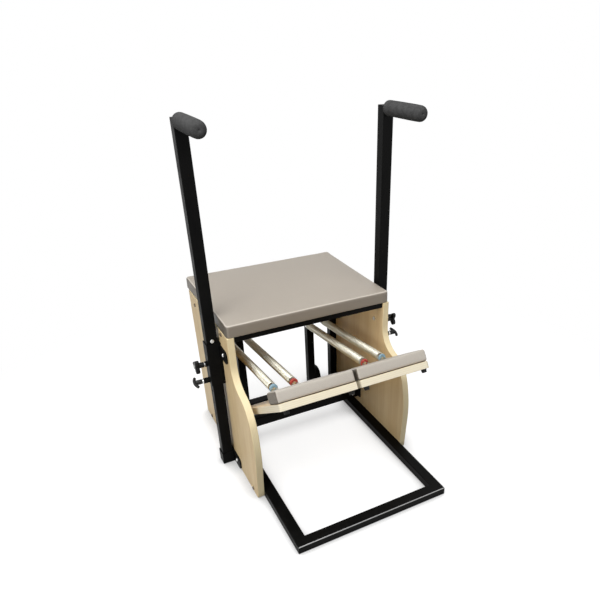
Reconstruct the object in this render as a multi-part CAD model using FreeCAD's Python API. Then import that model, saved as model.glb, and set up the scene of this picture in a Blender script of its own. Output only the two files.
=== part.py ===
import FreeCAD
import Part
import math
import os

# Pilates chair: plywood sides, padded seat, two sprung pedals, sliding handle uprights.
# Millimetres. +Z up, the front faces -Y, +X is the viewer's right. Floor at Z = 0.

# Overall layout
overall_length = 970.0
seat_width = 630.0
seat_depth = 512.0
seat_height = 626.0
seat_thickness = 49.0

# Side panels
panel_thickness = 25.0
panel_rear_setback = 31.0
panel_straight_drop = 102.0
panel_neck_radius = 87.0
panel_neck_turn = 76.0
panel_shoulder_radius = 120.0
panel_shoulder_turn = 59.0
panel_belly_radius = 420.0
panel_belly_turn = 22.0
panel_toe_radius = 9.0
panel_edge_round = 2.0
toe_bolt_inset = 60.0
bolt_hole_clearance = 0.1

# Seat cushion and its board
cushion_corner_radius = 10.0
cushion_draw_in = 3.0
cushion_edge_round = 5.0
cushion_crown = 4.0
round_mid_height = 0.7
round_mid_inset = 0.3
crown_mid_height = 0.7
crown_mid_inset = 0.12
crown_top_inset = 0.26
seat_board_thickness = 15.0
seat_board_inset = 10.0

# Steel tube sections
seat_rail_size = 20.0
base_rail_width = 40.0
base_rail_height = 30.0
tube_wall = 2.0
tube_corner_radius = 2.5
post_size = 32.0
hinge_bar_size = 40.0

# Places along the depth, measured back from the front of the seat
upright_setback = 109.0
hinge_setback = 192.0
post_setback = 405.0
seat_rail_setback = 6.0
seat_bolt_setback = 66.0
base_rail_tail = 428.0

# Rear ends of the base rails
end_cap_flange = 4.0
end_cap_plug = 16.0
end_cap_gap = 0.2

# Pedal hinge
hinge_height = 118.0
hinge_shaft_radius = 8.0
hinge_lug_radius = 14.0
hinge_lug_width = 8.0
hinge_lug_gap = 1.5
hinge_bar_drop = 16.0
hinge_flange_thickness = 6.0
hinge_flange_height = 64.0
hinge_flange_margin = 12.0
flange_bolt_edge = 2.0
hinge_bar_bolt_inset = 33.0
running_clearance = 0.05

# Pedals
pedal_rest_angle = 33.5
pedal_reach = 643.0
pedal_tail = 10.0
pedal_board_thickness = 24.0
pedal_board_offset = 10.5
pedal_gap = 15.0
pedal_side_gap = 20.0
pedal_corner_radius = 10.0
pedal_edge_round = 1.5
pedal_pad_depth = 90.0
pedal_pad_thickness = 42.0
pedal_pad_margin = 2.0
pedal_pad_corner = 7.0
pedal_pad_draw_in = 1.5
pedal_pad_round = 4.0
pedal_pad_crown = 3.0
knuckle_radius = 15.0
knuckle_width = 30.0
knuckle_foot = 36.0
knuckle_foot_thickness = 6.5
knuckle_inner_inset = 87.5
knuckle_outer_inset = 42.0
bumper_radius = 10.0
bumper_height = 12.0
bumper_taper = 2.0
bumper_setback = 11.5

# Springs
spring_side_gap = 78.0
spring_pitch = 74.0
spring_eye_setback = 176.0
spring_eye_rise = 67.6
spring_peg_drop = 197.0
spring_outer_diameter = 30.0
spring_wire = 4.0
spring_turns = 24
stirrup_wire = 6.0
stirrup_length = 30.0
stirrup_half_width = 9.0
stirrup_corner = 6.0
spring_cap_length = 18.0
spring_cap_round = 4.0
tail_plug_length = 18.0
tail_plug_round = 3.0
tail_plug_inset = 1.0
wire_anchor = 2.0
hook_wire = 5.0
hook_half_width = 11.0
hook_corner_relief = 0.5
hook_seat_gap = 4.5
hook_rise = 2.0
hook_slack = 33.0
loose_gap = 0.3
eye_wire = 6.0
eye_ring_radius = 9.0
eye_shank_radius = 4.0
eye_collar_radius = 9.0
eye_collar_height = 4.0

# Spring posts and pegs
inner_post_clearance = 7.5
peg_radius = 5.0
peg_overhang = 16.0
peg_head_radius = 8.0
peg_head_length = 4.0
peg_pitch = 55.0
pegs_per_post = 3

# Handle uprights
upright_size = 39.0
upright_standoff = 8.5
upright_floor_gap = 4.0
upright_rise = 614.0
slide_gap = 0.5
grip_arm_radius = 14.0
grip_axis_drop = 8.0
grip_radius = 24.0
grip_length = 196.0
grip_end_round = 15.0
grip_end_wall = 10.0
index_hole_radius = 4.5
index_hole_pitch = 50.0
index_holes_below_pin = 4
index_hole_count = 9
stop_bolt_gap = 12.0
stop_bolt_radius = 7.0
stop_bolt_head = 5.0
stop_bolt_round = 2.2

# Guide brackets that hold the uprights
sleeve_wall = 3.0
upper_sleeve_drop = 51.0
upper_sleeve_height = 164.0
lower_sleeve_bottom = 2.0
lower_sleeve_height = 46.0
ear_half_length = 90.0
ear_drop = 34.0
ear_height = 48.0
ear_bolt_spread = 50.5
ear_end_radius = 18.0

# Clamp knobs
knob_rise = 83.0
knob_lobe_reach = 19.0
knob_lobe_radius = 9.0
knob_body_radius = 15.0
knob_thickness = 20.0
knob_edge_round = 3.0
knob_standoff = 25.0
knob_hub_radius = 9.0
knob_hub_height = 3.0
stud_radius = 5.0
stud_engagement = 12.0
stud_boss_radius = 10.0
stud_boss_length = 9.0

# Pull pins
pull_rise = 17.0
barrel_radius = 10.0
barrel_length = 22.0
plunger_radius = 4.0
pull_stem_radius = 7.0
pull_stem_gap = 1.0
pull_stem_length = 22.0
pull_bar_radius = 6.0
pull_bar_bend = 30.0
pull_bar_sweep = 42.0
left_bar_tilt = 35.0
right_bar_tilt = 100.0

# Transport wheels
wheel_inset = 80.0
wheel_radius = 42.0
wheel_width = 28.0
wheel_floor_gap = 3.0
wheel_back_inset = 2.0
wheel_shoulder = 6.0
wheel_dish = 5.0
wheel_dish_draft = 2.0
wheel_hub_radius = 16.0
wheel_rim_radius = 29.0
wheel_side_gap = 1.0
fork_thickness = 3.0
fork_boss_radius = 13.0
axle_radius = 5.0
axle_head_radius = 8.0
axle_head_length = 4.0

# Fasteners
bolt_radius = 4.0
bolt_head_radius = 7.0
bolt_head_height = 4.0
bolt_head_round = 1.8
nut_radius = 7.5
nut_height = 6.0

# Places worked out from the sizes above
front_y = -overall_length / 2
seat_back_y = overall_length / 2
seat_front_y = seat_back_y - seat_depth
half_width = seat_width / 2
panel_inner_x = half_width - panel_thickness
panel_rear_y = seat_back_y - panel_rear_setback
seat_bottom = seat_height - seat_thickness
seat_rail_bottom = seat_bottom - seat_rail_size
seat_rail_front_y = seat_front_y + seat_rail_setback
upright_y = seat_front_y + upright_setback
upright_x = half_width + upright_standoff + upright_size / 2
hinge_y = seat_front_y + hinge_setback
post_y = seat_front_y + post_setback
base_rear_y = seat_front_y + base_rail_tail
base_inner_x = panel_inner_x - base_rail_width
hinge_bar_top = hinge_height - hinge_bar_drop
pedal_inner_x = pedal_gap / 2
pedal_outer_x = panel_inner_x - pedal_side_gap
outer_post_x = panel_inner_x - post_size / 2
spring_outer_x = panel_inner_x - spring_side_gap
spring_inner_x = spring_outer_x - spring_pitch
spring_eye_reach = pedal_reach - spring_eye_setback
spring_peg_height = seat_rail_bottom - spring_peg_drop
knuckle_inner_x = pedal_inner_x + knuckle_inner_inset
knuckle_outer_x = pedal_outer_x - knuckle_outer_inset
inner_post_x = spring_inner_x + inner_post_clearance + post_size / 2
sleeve_outer = upright_size + 2 * slide_gap + 2 * sleeve_wall
sleeve_face_x = upright_x + sleeve_outer / 2
upright_top = seat_height + upright_rise
upper_sleeve_top = seat_bottom - upper_sleeve_drop
upper_sleeve_bottom = upper_sleeve_top - upper_sleeve_height
knob_height = upper_sleeve_bottom + knob_rise
pull_height = upper_sleeve_bottom + pull_rise
stop_bolt_height = upper_sleeve_top + stop_bolt_gap
wheel_x = panel_inner_x - wheel_inset
wheel_y = seat_back_y - wheel_back_inset - wheel_radius
wheel_z = wheel_floor_gap + wheel_radius
ear_bolt_height = upper_sleeve_top - ear_drop

X_AXIS = FreeCAD.Vector(1, 0, 0)
Y_AXIS = FreeCAD.Vector(0, 1, 0)
Z_AXIS = FreeCAD.Vector(0, 0, 1)


def point(x, y, z):
    return FreeCAD.Vector(x, y, z)


def block(x0, x1, y0, y1, z0, z1):
    return Part.makeBox(x1 - x0, y1 - y0, z1 - z0, point(x0, y0, z0))


def rod(radius, start, end):
    run = end - start
    return Part.makeCylinder(radius, run.Length, start, run)


def prism(corners, direction):
    face = Part.Face(Part.makePolygon(corners + [corners[0]]))
    return face.extrude(direction)


def mirrored(shape):
    return shape.mirror(point(0, 0, 0), X_AXIS)


def pair(shape):
    return [shape, mirrored(shape)]


def save(name, *shapes):
    solids = []
    for shape in shapes:
        solids.extend(shape.Solids)
    result = solids[0] if len(solids) == 1 else Part.makeCompound(solids)
    result.exportStep(os.path.join("parts", name + ".step"))


# Round the edges of a bar that run along its length
def round_long_edges(bar, direction, radius):
    long_edges = []
    for edge in bar.Edges:
        way = edge.tangentAt(edge.FirstParameter)
        if abs(way.dot(direction)) > 0.999:
            long_edges.append(edge)
    return bar.makeFillet(radius, long_edges)


# Square or oblong steel tube along one axis, open at both ends
def tube_along_x(x0, x1, y, z, size_y, size_z, wall):
    outer = block(x0, x1, y - size_y / 2, y + size_y / 2, z - size_z / 2, z + size_z / 2)
    outer = round_long_edges(outer, X_AXIS, tube_corner_radius)
    inner_y = size_y / 2 - wall
    inner_z = size_z / 2 - wall
    return outer.cut(block(x0 - 1, x1 + 1, y - inner_y, y + inner_y, z - inner_z, z + inner_z))


def tube_along_y(y0, y1, x, z, size_x, size_z, wall):
    outer = block(x - size_x / 2, x + size_x / 2, y0, y1, z - size_z / 2, z + size_z / 2)
    outer = round_long_edges(outer, Y_AXIS, tube_corner_radius)
    inner_x = size_x / 2 - wall
    inner_z = size_z / 2 - wall
    return outer.cut(block(x - inner_x, x + inner_x, y0 - 1, y1 + 1, z - inner_z, z + inner_z))


def tube_along_z(z0, z1, x, y, size, wall):
    half = size / 2
    outer = block(x - half, x + half, y - half, y + half, z0, z1)
    outer = round_long_edges(outer, Z_AXIS, tube_corner_radius)
    inner = half - wall
    return outer.cut(block(x - inner, x + inner, y - inner, y + inner, z0 - 1, z1 + 1))


# Outline of a cushion: sides drawn in between round corners
def cushion_outline(width, depth, corner, draw_in, z):
    half_x = width / 2
    half_y = depth / 2
    diagonal = corner * (1 - math.sqrt(0.5))
    edges = []
    for turn in range(4):
        along_x = turn % 2 == 0
        reach = half_y if along_x else half_x
        span = (half_x if along_x else half_y) - corner
        spin = FreeCAD.Rotation(Z_AXIS, 90 * turn)
        start = spin.multVec(point(-span, -reach, z))
        middle = spin.multVec(point(0, -reach + draw_in, z))
        end = spin.multVec(point(span, -reach, z))
        bend = spin.multVec(point(span + corner - diagonal, -reach + diagonal, z))
        after = spin.multVec(point(span + corner, -reach + corner, z))
        edges.append(Part.Arc(start, middle, end).toShape())
        edges.append(Part.Arc(end, bend, after).toShape())
    return Part.Wire(edges)


# Crowned cushion standing on z = 0, centred on the origin
def cushion(width, depth, height, corner, draw_in, edge_round, crown):
    waist = draw_in / 2
    shoulder = height - crown - edge_round
    levels = [
        (0, 2 * waist),
        (edge_round / 2, 0),
        (shoulder / 2, waist),
        (shoulder, 0),
        (shoulder + round_mid_height * edge_round, round_mid_inset * edge_round),
        (height - crown, edge_round),
        (height - crown + crown_mid_height * crown, edge_round + crown_mid_inset * depth),
        (height, edge_round + crown_top_inset * depth),
    ]
    wires = []
    for z, inset in levels:
        round_corner = max(corner - inset, corner / 2)
        wires.append(cushion_outline(width - 2 * inset, depth - 2 * inset, round_corner, draw_in, z))
    return Part.makeLoft(wires, True, True)


# Bolt along X: head outside, shank running inwards from the seat plane
def bolt_along_x(seat_x, y, z, grip):
    head = Part.makeCylinder(bolt_head_radius, bolt_head_height, point(seat_x, y, z), X_AXIS)
    rim = [edge for edge in head.Edges if edge.Curve.TypeId == "Part::GeomCircle"]
    outer_rim = [edge for edge in rim if edge.BoundBox.XMin > seat_x + bolt_head_height / 2]
    head = head.makeFillet(bolt_head_round, outer_rim)
    shank = rod(bolt_radius, point(seat_x, y, z), point(seat_x - grip, y, z))
    return head.fuse(shank).removeSplitter()


os.makedirs("parts", exist_ok=True)

# Seat
seat_middle_y = (seat_front_y + seat_back_y) / 2
seat_pad = cushion(
    seat_width, seat_depth, seat_thickness,
    cushion_corner_radius, cushion_draw_in, cushion_edge_round, cushion_crown,
)
seat_pad.translate(point(0, seat_middle_y, seat_bottom))
board_half_x = half_width - seat_board_inset
board_half_y = seat_depth / 2 - seat_board_inset
seat_board = block(
    -board_half_x, board_half_x,
    seat_middle_y - board_half_y, seat_middle_y + board_half_y,
    seat_bottom, seat_bottom + seat_board_thickness,
)
save("seat_pad", seat_pad.cut(seat_board))
save("seat_board", seat_board)

# Seat frame under the board
seat_rail_z = seat_rail_bottom + seat_rail_size / 2
front_rail_y = seat_rail_front_y + seat_rail_size / 2
seat_front_rail = tube_along_x(
    -panel_inner_x, panel_inner_x, front_rail_y, seat_rail_z, seat_rail_size, seat_rail_size, tube_wall)
seat_rear_rail = tube_along_x(
    -panel_inner_x, panel_inner_x, post_y, seat_rail_z, seat_rail_size, seat_rail_size, tube_wall)
seat_side_rail = tube_along_y(
    seat_rail_front_y + seat_rail_size, post_y - seat_rail_size / 2,
    panel_inner_x - seat_rail_size / 2, seat_rail_z, seat_rail_size, seat_rail_size, tube_wall)
save("seat_front_rail", seat_front_rail)
save("seat_rear_rail", seat_rear_rail)
save("seat_side_rails", *pair(seat_side_rail))

# Side panel outline in the YZ plane: a tangent chain of arcs down the front edge
def front_edge_chain(start_y, start_z, arcs):
    edges = []
    y, z, heading = start_y, start_z, 0.0
    for radius, turn in arcs:
        side = 1 if turn > 0 else -1
        samples = []
        for share in (0.5, 1.0):
            angle = heading + math.radians(turn) * share
            step_y = -side * radius * (math.cos(heading) - math.cos(angle))
            step_z = -side * radius * (math.sin(angle) - math.sin(heading))
            samples.append(point(0, y + step_y, z + step_z))
        edges.append(Part.Arc(point(0, y, z), samples[0], samples[1]).toShape())
        y, z = samples[1].y, samples[1].z
        heading += math.radians(turn)
    return edges, y, z, heading


neck_z = seat_bottom - panel_straight_drop
front_edges, belly_y, belly_z, belly_heading = front_edge_chain(
    seat_front_y, neck_z,
    [
        (panel_neck_radius, panel_neck_turn),
        (panel_shoulder_radius, -panel_shoulder_turn),
        (panel_belly_radius, -panel_belly_turn),
    ],
)
toe_y = belly_y - belly_z * math.tan(belly_heading)
panel_top_front = point(0, seat_front_y, seat_bottom)
panel_outline = [Part.makeLine(panel_top_front, point(0, seat_front_y, neck_z))]
panel_outline.extend(front_edges)
panel_outline.append(Part.makeLine(point(0, belly_y, belly_z), point(0, toe_y, 0)))
panel_outline.append(Part.makeLine(point(0, toe_y, 0), point(0, panel_rear_y, 0)))
panel_outline.append(Part.makeLine(point(0, panel_rear_y, 0), point(0, panel_rear_y, seat_bottom)))
panel_outline.append(Part.makeLine(point(0, panel_rear_y, seat_bottom), panel_top_front))
panel = Part.Face(Part.Wire(panel_outline)).extrude(point(panel_thickness, 0, 0))
panel.translate(point(panel_inner_x, 0, 0))
toe_edge = [
    edge for edge in panel.Edges
    if edge.BoundBox.XLength > panel_thickness / 2
    and abs(edge.BoundBox.YMin - toe_y) < 0.5 and edge.BoundBox.ZMax < 0.5
]
panel = panel.makeFillet(panel_toe_radius, toe_edge)
face_edges = [
    edge for edge in panel.Edges
    if edge.BoundBox.XLength < 0.01 and edge.BoundBox.ZMin < seat_bottom - 1
]
panel = panel.makeFillet(panel_edge_round, face_edges)

# Bolts through the side panels: into the seat frame, the posts, the base and the brackets
base_bolt_z = base_rail_height / 2
panel_bolt_places = [
    (seat_front_y + seat_bolt_setback, seat_rail_z),
    (post_y, seat_rail_bottom - post_size / 2),
    (post_y, base_bolt_z),
    (toe_y + toe_bolt_inset, base_bolt_z),
]
ear_plate_x = upright_x - sleeve_outer / 2
panel_bolts = []
for bolt_y, bolt_z in panel_bolt_places:
    panel_bolts.append(bolt_along_x(half_width, bolt_y, bolt_z, panel_thickness))
lower_ear_z = lower_sleeve_bottom + lower_sleeve_height / 2
for side in (-1, 1):
    bolt_y = upright_y + side * ear_bolt_spread
    through = ear_plate_x - panel_inner_x
    upper = bolt_along_x(ear_plate_x, bolt_y, ear_bolt_height, through)
    nut = Part.makeCylinder(
        nut_radius, nut_height, point(panel_inner_x - nut_height, bolt_y, ear_bolt_height), X_AXIS)
    panel_bolts.append(upper.fuse(nut).removeSplitter())
    panel_bolts.append(bolt_along_x(ear_plate_x, bolt_y, lower_ear_z, through))
for bolt in panel_bolts:
    middle = bolt.BoundBox.Center
    hole = rod(
        bolt_radius + bolt_hole_clearance,
        point(panel_inner_x - 1, middle.y, middle.z), point(half_width + 1, middle.y, middle.z))
    panel = panel.cut(hole)
save("right_side_panel", panel)
save("left_side_panel", mirrored(panel))

# Base frame on the floor, mitred at its front corners
def mitred_front(outset):
    y0 = front_y + outset
    y1 = front_y + base_rail_width - outset
    x0 = panel_inner_x - outset
    x1 = base_inner_x + outset
    return [point(-x0, y0, 0), point(x0, y0, 0), point(x1, y1, 0), point(-x1, y1, 0)]


def mitred_side(outset, tail):
    y0 = front_y + outset
    y1 = front_y + base_rail_width - outset
    x0 = panel_inner_x - outset
    x1 = base_inner_x + outset
    return [point(x0, y0, 0), point(x0, tail, 0), point(x1, tail, 0), point(x1, y1, 0)]


def hollow_rail(outer_corners, inner_corners, direction):
    outer = prism(outer_corners, point(0, 0, base_rail_height))
    outer = round_long_edges(outer, direction, tube_corner_radius)
    core = prism(inner_corners, point(0, 0, base_rail_height - 2 * tube_wall))
    core.translate(point(0, 0, tube_wall))
    return outer.cut(core)


base_front_rail = hollow_rail(mitred_front(0), mitred_front(tube_wall), X_AXIS)
base_side_rail = hollow_rail(
    mitred_side(0, base_rear_y), mitred_side(tube_wall, base_rear_y + 1), Y_AXIS)
base_rear_rail = tube_along_x(
    -base_inner_x, base_inner_x, post_y, base_rail_height / 2,
    base_rail_width, base_rail_height, tube_wall)
save("base_front_rail", base_front_rail)
save("base_right_rail", base_side_rail)
save("base_left_rail", mirrored(base_side_rail))
save("base_rear_rail", base_rear_rail)

# Plastic plugs in the rear ends of the base rails
plug_x0 = base_inner_x + tube_wall + end_cap_gap
plug_x1 = panel_inner_x - tube_wall - end_cap_gap
plug_z0 = tube_wall + end_cap_gap
plug_z1 = base_rail_height - tube_wall - end_cap_gap
end_cap = block(
    base_inner_x, panel_inner_x, base_rear_y, base_rear_y + end_cap_flange, 0, base_rail_height)
end_cap = round_long_edges(end_cap, Y_AXIS, tube_corner_radius)
end_cap = end_cap.fuse(block(plug_x0, plug_x1, base_rear_y - end_cap_plug, base_rear_y, plug_z0, plug_z1))
save("rail_end_caps", *pair(end_cap.removeSplitter()))

# Hinge bar between the side panels, with a flange bolted to each
hinge_bar_z = hinge_bar_top - hinge_bar_size / 2
hinge_bar_bottom = hinge_bar_top - hinge_bar_size
flange_x = panel_inner_x - hinge_flange_thickness
hinge_bar = tube_along_x(
    -flange_x, flange_x, hinge_y, hinge_bar_z, hinge_bar_size, hinge_bar_size, tube_wall)
flange_half = hinge_bar_size / 2 + hinge_flange_margin
flange = block(
    flange_x, panel_inner_x, hinge_y - flange_half, hinge_y + flange_half,
    hinge_bar_bottom, hinge_bar_bottom + hinge_flange_height)
for shape in pair(flange):
    hinge_bar = hinge_bar.fuse(shape)
save("hinge_bar", hinge_bar.removeSplitter())
flange_bolt_z = hinge_bar_top + (hinge_flange_height - hinge_bar_size) / 2
flange_bolts = []
for side in (-1, 1):
    bolt_y = hinge_y + side * (flange_half - bolt_head_radius - flange_bolt_edge)
    head = Part.makeCylinder(
        bolt_head_radius, bolt_head_height,
        point(flange_x - bolt_head_height, bolt_y, flange_bolt_z), X_AXIS)
    flange_bolts.append(head)
bar_bolt_seat = point(panel_inner_x - hinge_bar_bolt_inset, hinge_y - hinge_bar_size / 2, hinge_bar_z)
flange_bolts.append(Part.makeCylinder(bolt_head_radius, bolt_head_height, bar_bolt_seat, Y_AXIS * -1))
all_bolts = []
for bolt in panel_bolts + flange_bolts:
    all_bolts.extend(pair(bolt))
save("panel_bolts", *all_bolts)

# Lugs on the bar and the shaft that they hold
def hinge_lug(x_middle):
    x0 = x_middle - hinge_lug_width / 2
    centre = point(x0, hinge_y, hinge_height)
    crown = Part.makeCylinder(hinge_lug_radius, hinge_lug_width, centre, X_AXIS)
    foot = block(
        x0, x0 + hinge_lug_width, hinge_y - hinge_lug_radius, hinge_y + hinge_lug_radius,
        hinge_bar_top, hinge_height)
    bore = rod(hinge_shaft_radius, centre - X_AXIS, centre + X_AXIS * (hinge_lug_width + 1))
    return crown.fuse(foot).cut(bore).removeSplitter()


outer_lug_x = pedal_outer_x + hinge_lug_gap + hinge_lug_width / 2
lug_floor = block(
    -panel_inner_x, panel_inner_x, hinge_y - hinge_bar_size, hinge_y + hinge_bar_size,
    hinge_bar_bottom, hinge_bar_top)
lugs = [hinge_lug(x).cut(lug_floor) for x in (-outer_lug_x, 0, outer_lug_x)]
save("hinge_lugs", *lugs)
shaft_end_x = outer_lug_x + hinge_lug_width / 2
hinge_shaft = rod(
    hinge_shaft_radius,
    point(-shaft_end_x, hinge_y, hinge_height), point(shaft_end_x, hinge_y, hinge_height))
save("hinge_shaft", hinge_shaft)

# Spring posts on the rear rail, each with pegs for the springs
posts = []
pegs = []
for post_x, spring_x in ((inner_post_x, spring_inner_x), (outer_post_x, spring_outer_x)):
    post = tube_along_z(base_rail_height, seat_rail_bottom, post_x, post_y, post_size, tube_wall)
    posts.extend(pair(post))
    post_face = post_x - post_size / 2
    peg_tip = spring_x - peg_overhang
    for level in range(pegs_per_post):
        peg_z = spring_peg_height + level * peg_pitch
        peg = rod(peg_radius, point(post_face, post_y, peg_z), point(peg_tip, post_y, peg_z))
        head = rod(
            peg_head_radius, point(peg_tip, post_y, peg_z), point(peg_tip - peg_head_length, post_y, peg_z))
        pegs.extend(pair(peg.fuse(head).removeSplitter()))
save("spring_posts", *posts)
save("spring_pegs", *pegs)


# Guide bracket: a plate with ears against the panel, and a sleeve round the upright
def guide_bracket(sleeve_bottom, sleeve_height, ear_middle):
    half = sleeve_outer / 2
    sleeve = tube_along_z(
        sleeve_bottom, sleeve_bottom + sleeve_height, upright_x, upright_y, sleeve_outer, sleeve_wall)
    plate = block(
        half_width, upright_x - half, upright_y - half, upright_y + half,
        sleeve_bottom, sleeve_bottom + sleeve_height)
    ear = block(
        half_width, upright_x - half, upright_y - ear_half_length, upright_y + ear_half_length,
        ear_middle - ear_height / 2, ear_middle + ear_height / 2)
    corners = [edge for edge in ear.Edges if edge.BoundBox.XLength > 1.0]
    ear = ear.makeFillet(ear_end_radius, corners)
    bracket = sleeve.fuse(plate).fuse(ear).removeSplitter()
    for side in (-1, 1):
        bolt_y = upright_y + side * ear_bolt_spread
        bracket = bracket.cut(rod(
            bolt_radius + bolt_hole_clearance,
            point(half_width - 1, bolt_y, ear_middle), point(upright_x - half + 1, bolt_y, ear_middle)))
    return bracket


upper_bracket = guide_bracket(upper_sleeve_bottom, upper_sleeve_height, ear_bolt_height)
boss_x = sleeve_face_x + stud_boss_length
barrel_x = sleeve_face_x + barrel_length
upper_bracket = upper_bracket.fuse(rod(
    stud_boss_radius, point(sleeve_face_x, upright_y, knob_height), point(boss_x, upright_y, knob_height)))
upper_bracket = upper_bracket.fuse(rod(
    barrel_radius, point(sleeve_face_x, upright_y, pull_height), point(barrel_x, upright_y, pull_height)))
sleeve_bore_x = sleeve_face_x - sleeve_wall - slide_gap / 2
upper_bracket = upper_bracket.cut(rod(
    stud_radius + running_clearance,
    point(sleeve_bore_x, upright_y, knob_height), point(boss_x + 1, upright_y, knob_height)))
upper_bracket = upper_bracket.cut(rod(
    plunger_radius + running_clearance,
    point(sleeve_bore_x, upright_y, pull_height), point(barrel_x + 1, upright_y, pull_height)))
upper_bracket = upper_bracket.removeSplitter()
lower_bracket = guide_bracket(lower_sleeve_bottom, lower_sleeve_height, lower_ear_z)
save("right_upper_bracket", upper_bracket)
save("left_upper_bracket", mirrored(upper_bracket))
save("right_lower_bracket", lower_bracket)
save("left_lower_bracket", mirrored(lower_bracket))

# Handle upright with its welded grip arm
upright_front_y = upright_y - upright_size / 2
grip_z = upright_top - grip_axis_drop
upright = tube_along_z(
    upright_floor_gap, upright_top - tube_wall, upright_x, upright_y, upright_size, tube_wall)
half_upright = upright_size / 2
top_plate = block(
    upright_x - half_upright, upright_x + half_upright, upright_y - half_upright, upright_y + half_upright,
    upright_top - tube_wall, upright_top)
top_plate = round_long_edges(top_plate, Z_AXIS, tube_corner_radius)
arm_end_y = upright_front_y - grip_length + grip_end_wall
arm = rod(grip_arm_radius, point(upright_x, upright_front_y, grip_z), point(upright_x, arm_end_y, grip_z))
arm_bore = rod(
    grip_arm_radius - tube_wall,
    point(upright_x, upright_front_y, grip_z), point(upright_x, arm_end_y - 1, grip_z))
upright = upright.fuse(top_plate).fuse(arm.cut(arm_bore)).removeSplitter()
for index in range(index_hole_count):
    hole_z = pull_height + (index - index_holes_below_pin) * index_hole_pitch
    upright = upright.cut(rod(
        index_hole_radius,
        point(upright_x + half_upright - 2 * tube_wall, upright_y, hole_z),
        point(upright_x + half_upright + 1, upright_y, hole_z)))
save("right_upright", upright)
save("left_upright", mirrored(upright))

# Foam grip: a sleeve with a closed, rounded end
grip_tip_y = upright_front_y - grip_length
round_y = grip_tip_y + grip_end_round
flat_radius = grip_radius - grip_end_round
diagonal = grip_end_round * math.sqrt(0.5)
grip_profile = [
    Part.makeLine(point(0, upright_front_y, grip_arm_radius), point(0, upright_front_y, grip_radius)),
    Part.makeLine(point(0, upright_front_y, grip_radius), point(0, round_y, grip_radius)),
    Part.Arc(
        point(0, round_y, grip_radius),
        point(0, round_y - diagonal, flat_radius + diagonal),
        point(0, grip_tip_y, flat_radius)).toShape(),
    Part.makeLine(point(0, grip_tip_y, flat_radius), point(0, grip_tip_y, 0)),
    Part.makeLine(point(0, grip_tip_y, 0), point(0, arm_end_y, 0)),
    Part.makeLine(point(0, arm_end_y, 0), point(0, arm_end_y, grip_arm_radius)),
    Part.makeLine(point(0, arm_end_y, grip_arm_radius), point(0, upright_front_y, grip_arm_radius)),
]
grip = Part.Face(Part.Wire(grip_profile)).revolve(point(0, 0, 0), Y_AXIS, 360)
grip.translate(point(upright_x, 0, grip_z))
save("right_grip", grip)
save("left_grip", mirrored(grip))

# Stop bolt on the front of the upright, above the upper sleeve
stop_seat = point(upright_x, upright_front_y, stop_bolt_height)
stop_bolt = Part.makeCylinder(stop_bolt_radius, stop_bolt_head, stop_seat, Y_AXIS * -1)
stop_rim = [edge for edge in stop_bolt.Edges if edge.BoundBox.YMax < upright_front_y - stop_bolt_head / 2]
stop_bolt = stop_bolt.makeFillet(stop_bolt_round, stop_rim)
save("right_stop_bolt", stop_bolt)
save("left_stop_bolt", mirrored(stop_bolt))

# Three-lobed clamp knob on a steel stud
knob_x = sleeve_face_x + knob_standoff
knob_centre = point(knob_x, upright_y, knob_height)
knob = Part.makeCylinder(knob_body_radius, knob_thickness, knob_centre, X_AXIS)
for lobe in range(3):
    angle = math.radians(90 + 120 * lobe)
    offset = point(0, knob_lobe_reach * math.cos(angle), knob_lobe_reach * math.sin(angle))
    knob = knob.fuse(Part.makeCylinder(knob_lobe_radius, knob_thickness, knob_centre + offset, X_AXIS))
knob = knob.removeSplitter()
knob_rim = [
    edge for edge in knob.Edges
    if edge.BoundBox.XLength < 0.01 and edge.BoundBox.XMin > knob_x + knob_thickness - 0.01
]
knob = knob.makeFillet(knob_edge_round, knob_rim)
hub_start = knob_centre + X_AXIS * knob_thickness
knob = knob.fuse(rod(knob_hub_radius, hub_start - X_AXIS, hub_start + X_AXIS * knob_hub_height))
stud_tip_x = upright_x + half_upright + loose_gap
stud_end_x = knob_x + stud_engagement
stud = rod(stud_radius, point(stud_tip_x, upright_y, knob_height), point(stud_end_x, upright_y, knob_height))
knob = knob.cut(stud).removeSplitter()
save("right_clamp_knob", knob)
save("left_clamp_knob", mirrored(knob))
save("right_clamp_stud", stud)
save("left_clamp_stud", mirrored(stud))

# Pull pin: a steel plunger through the barrel, with a bowed finger bar
stem_x = barrel_x + pull_stem_gap
bar_x = stem_x + pull_stem_length
plunger = rod(
    plunger_radius,
    point(stud_tip_x, upright_y, pull_height), point(bar_x - pull_bar_radius, upright_y, pull_height))
stem = rod(pull_stem_radius, point(stem_x, upright_y, pull_height), point(bar_x, upright_y, pull_height))
bow_centre = point(bar_x + pull_bar_bend, upright_y, pull_height)
bow_points = []
for share in (-1, 0, 1):
    angle = math.radians(pull_bar_sweep) * share
    bow_points.append(bow_centre + point(
        -pull_bar_bend * math.cos(angle), 0, pull_bar_bend * math.sin(angle)))
bow_path = Part.Wire([Part.Arc(*bow_points).toShape()])
bow_heading = math.radians(90 - pull_bar_sweep)
bow_start = Part.Wire([Part.Circle(
    bow_points[0], point(-math.cos(bow_heading), 0, math.sin(bow_heading)), pull_bar_radius).toShape()])
bow = bow_path.makePipeShell([bow_start], True, True)
pull_handle = stem.fuse(bow)
for tip in (bow_points[0], bow_points[2]):
    pull_handle = pull_handle.fuse(Part.makeSphere(pull_bar_radius, tip))


# The finger bar may stand at any angle round its stem
def turned_handle(tilt):
    turned = pull_handle.copy()
    turned.rotate(point(0, upright_y, pull_height), X_AXIS, tilt)
    return turned.cut(plunger).removeSplitter()


save("right_pull_handle", turned_handle(right_bar_tilt))
save("left_pull_handle", mirrored(turned_handle(left_bar_tilt)))
save("right_pull_plunger", plunger)
save("left_pull_plunger", mirrored(plunger))

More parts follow.
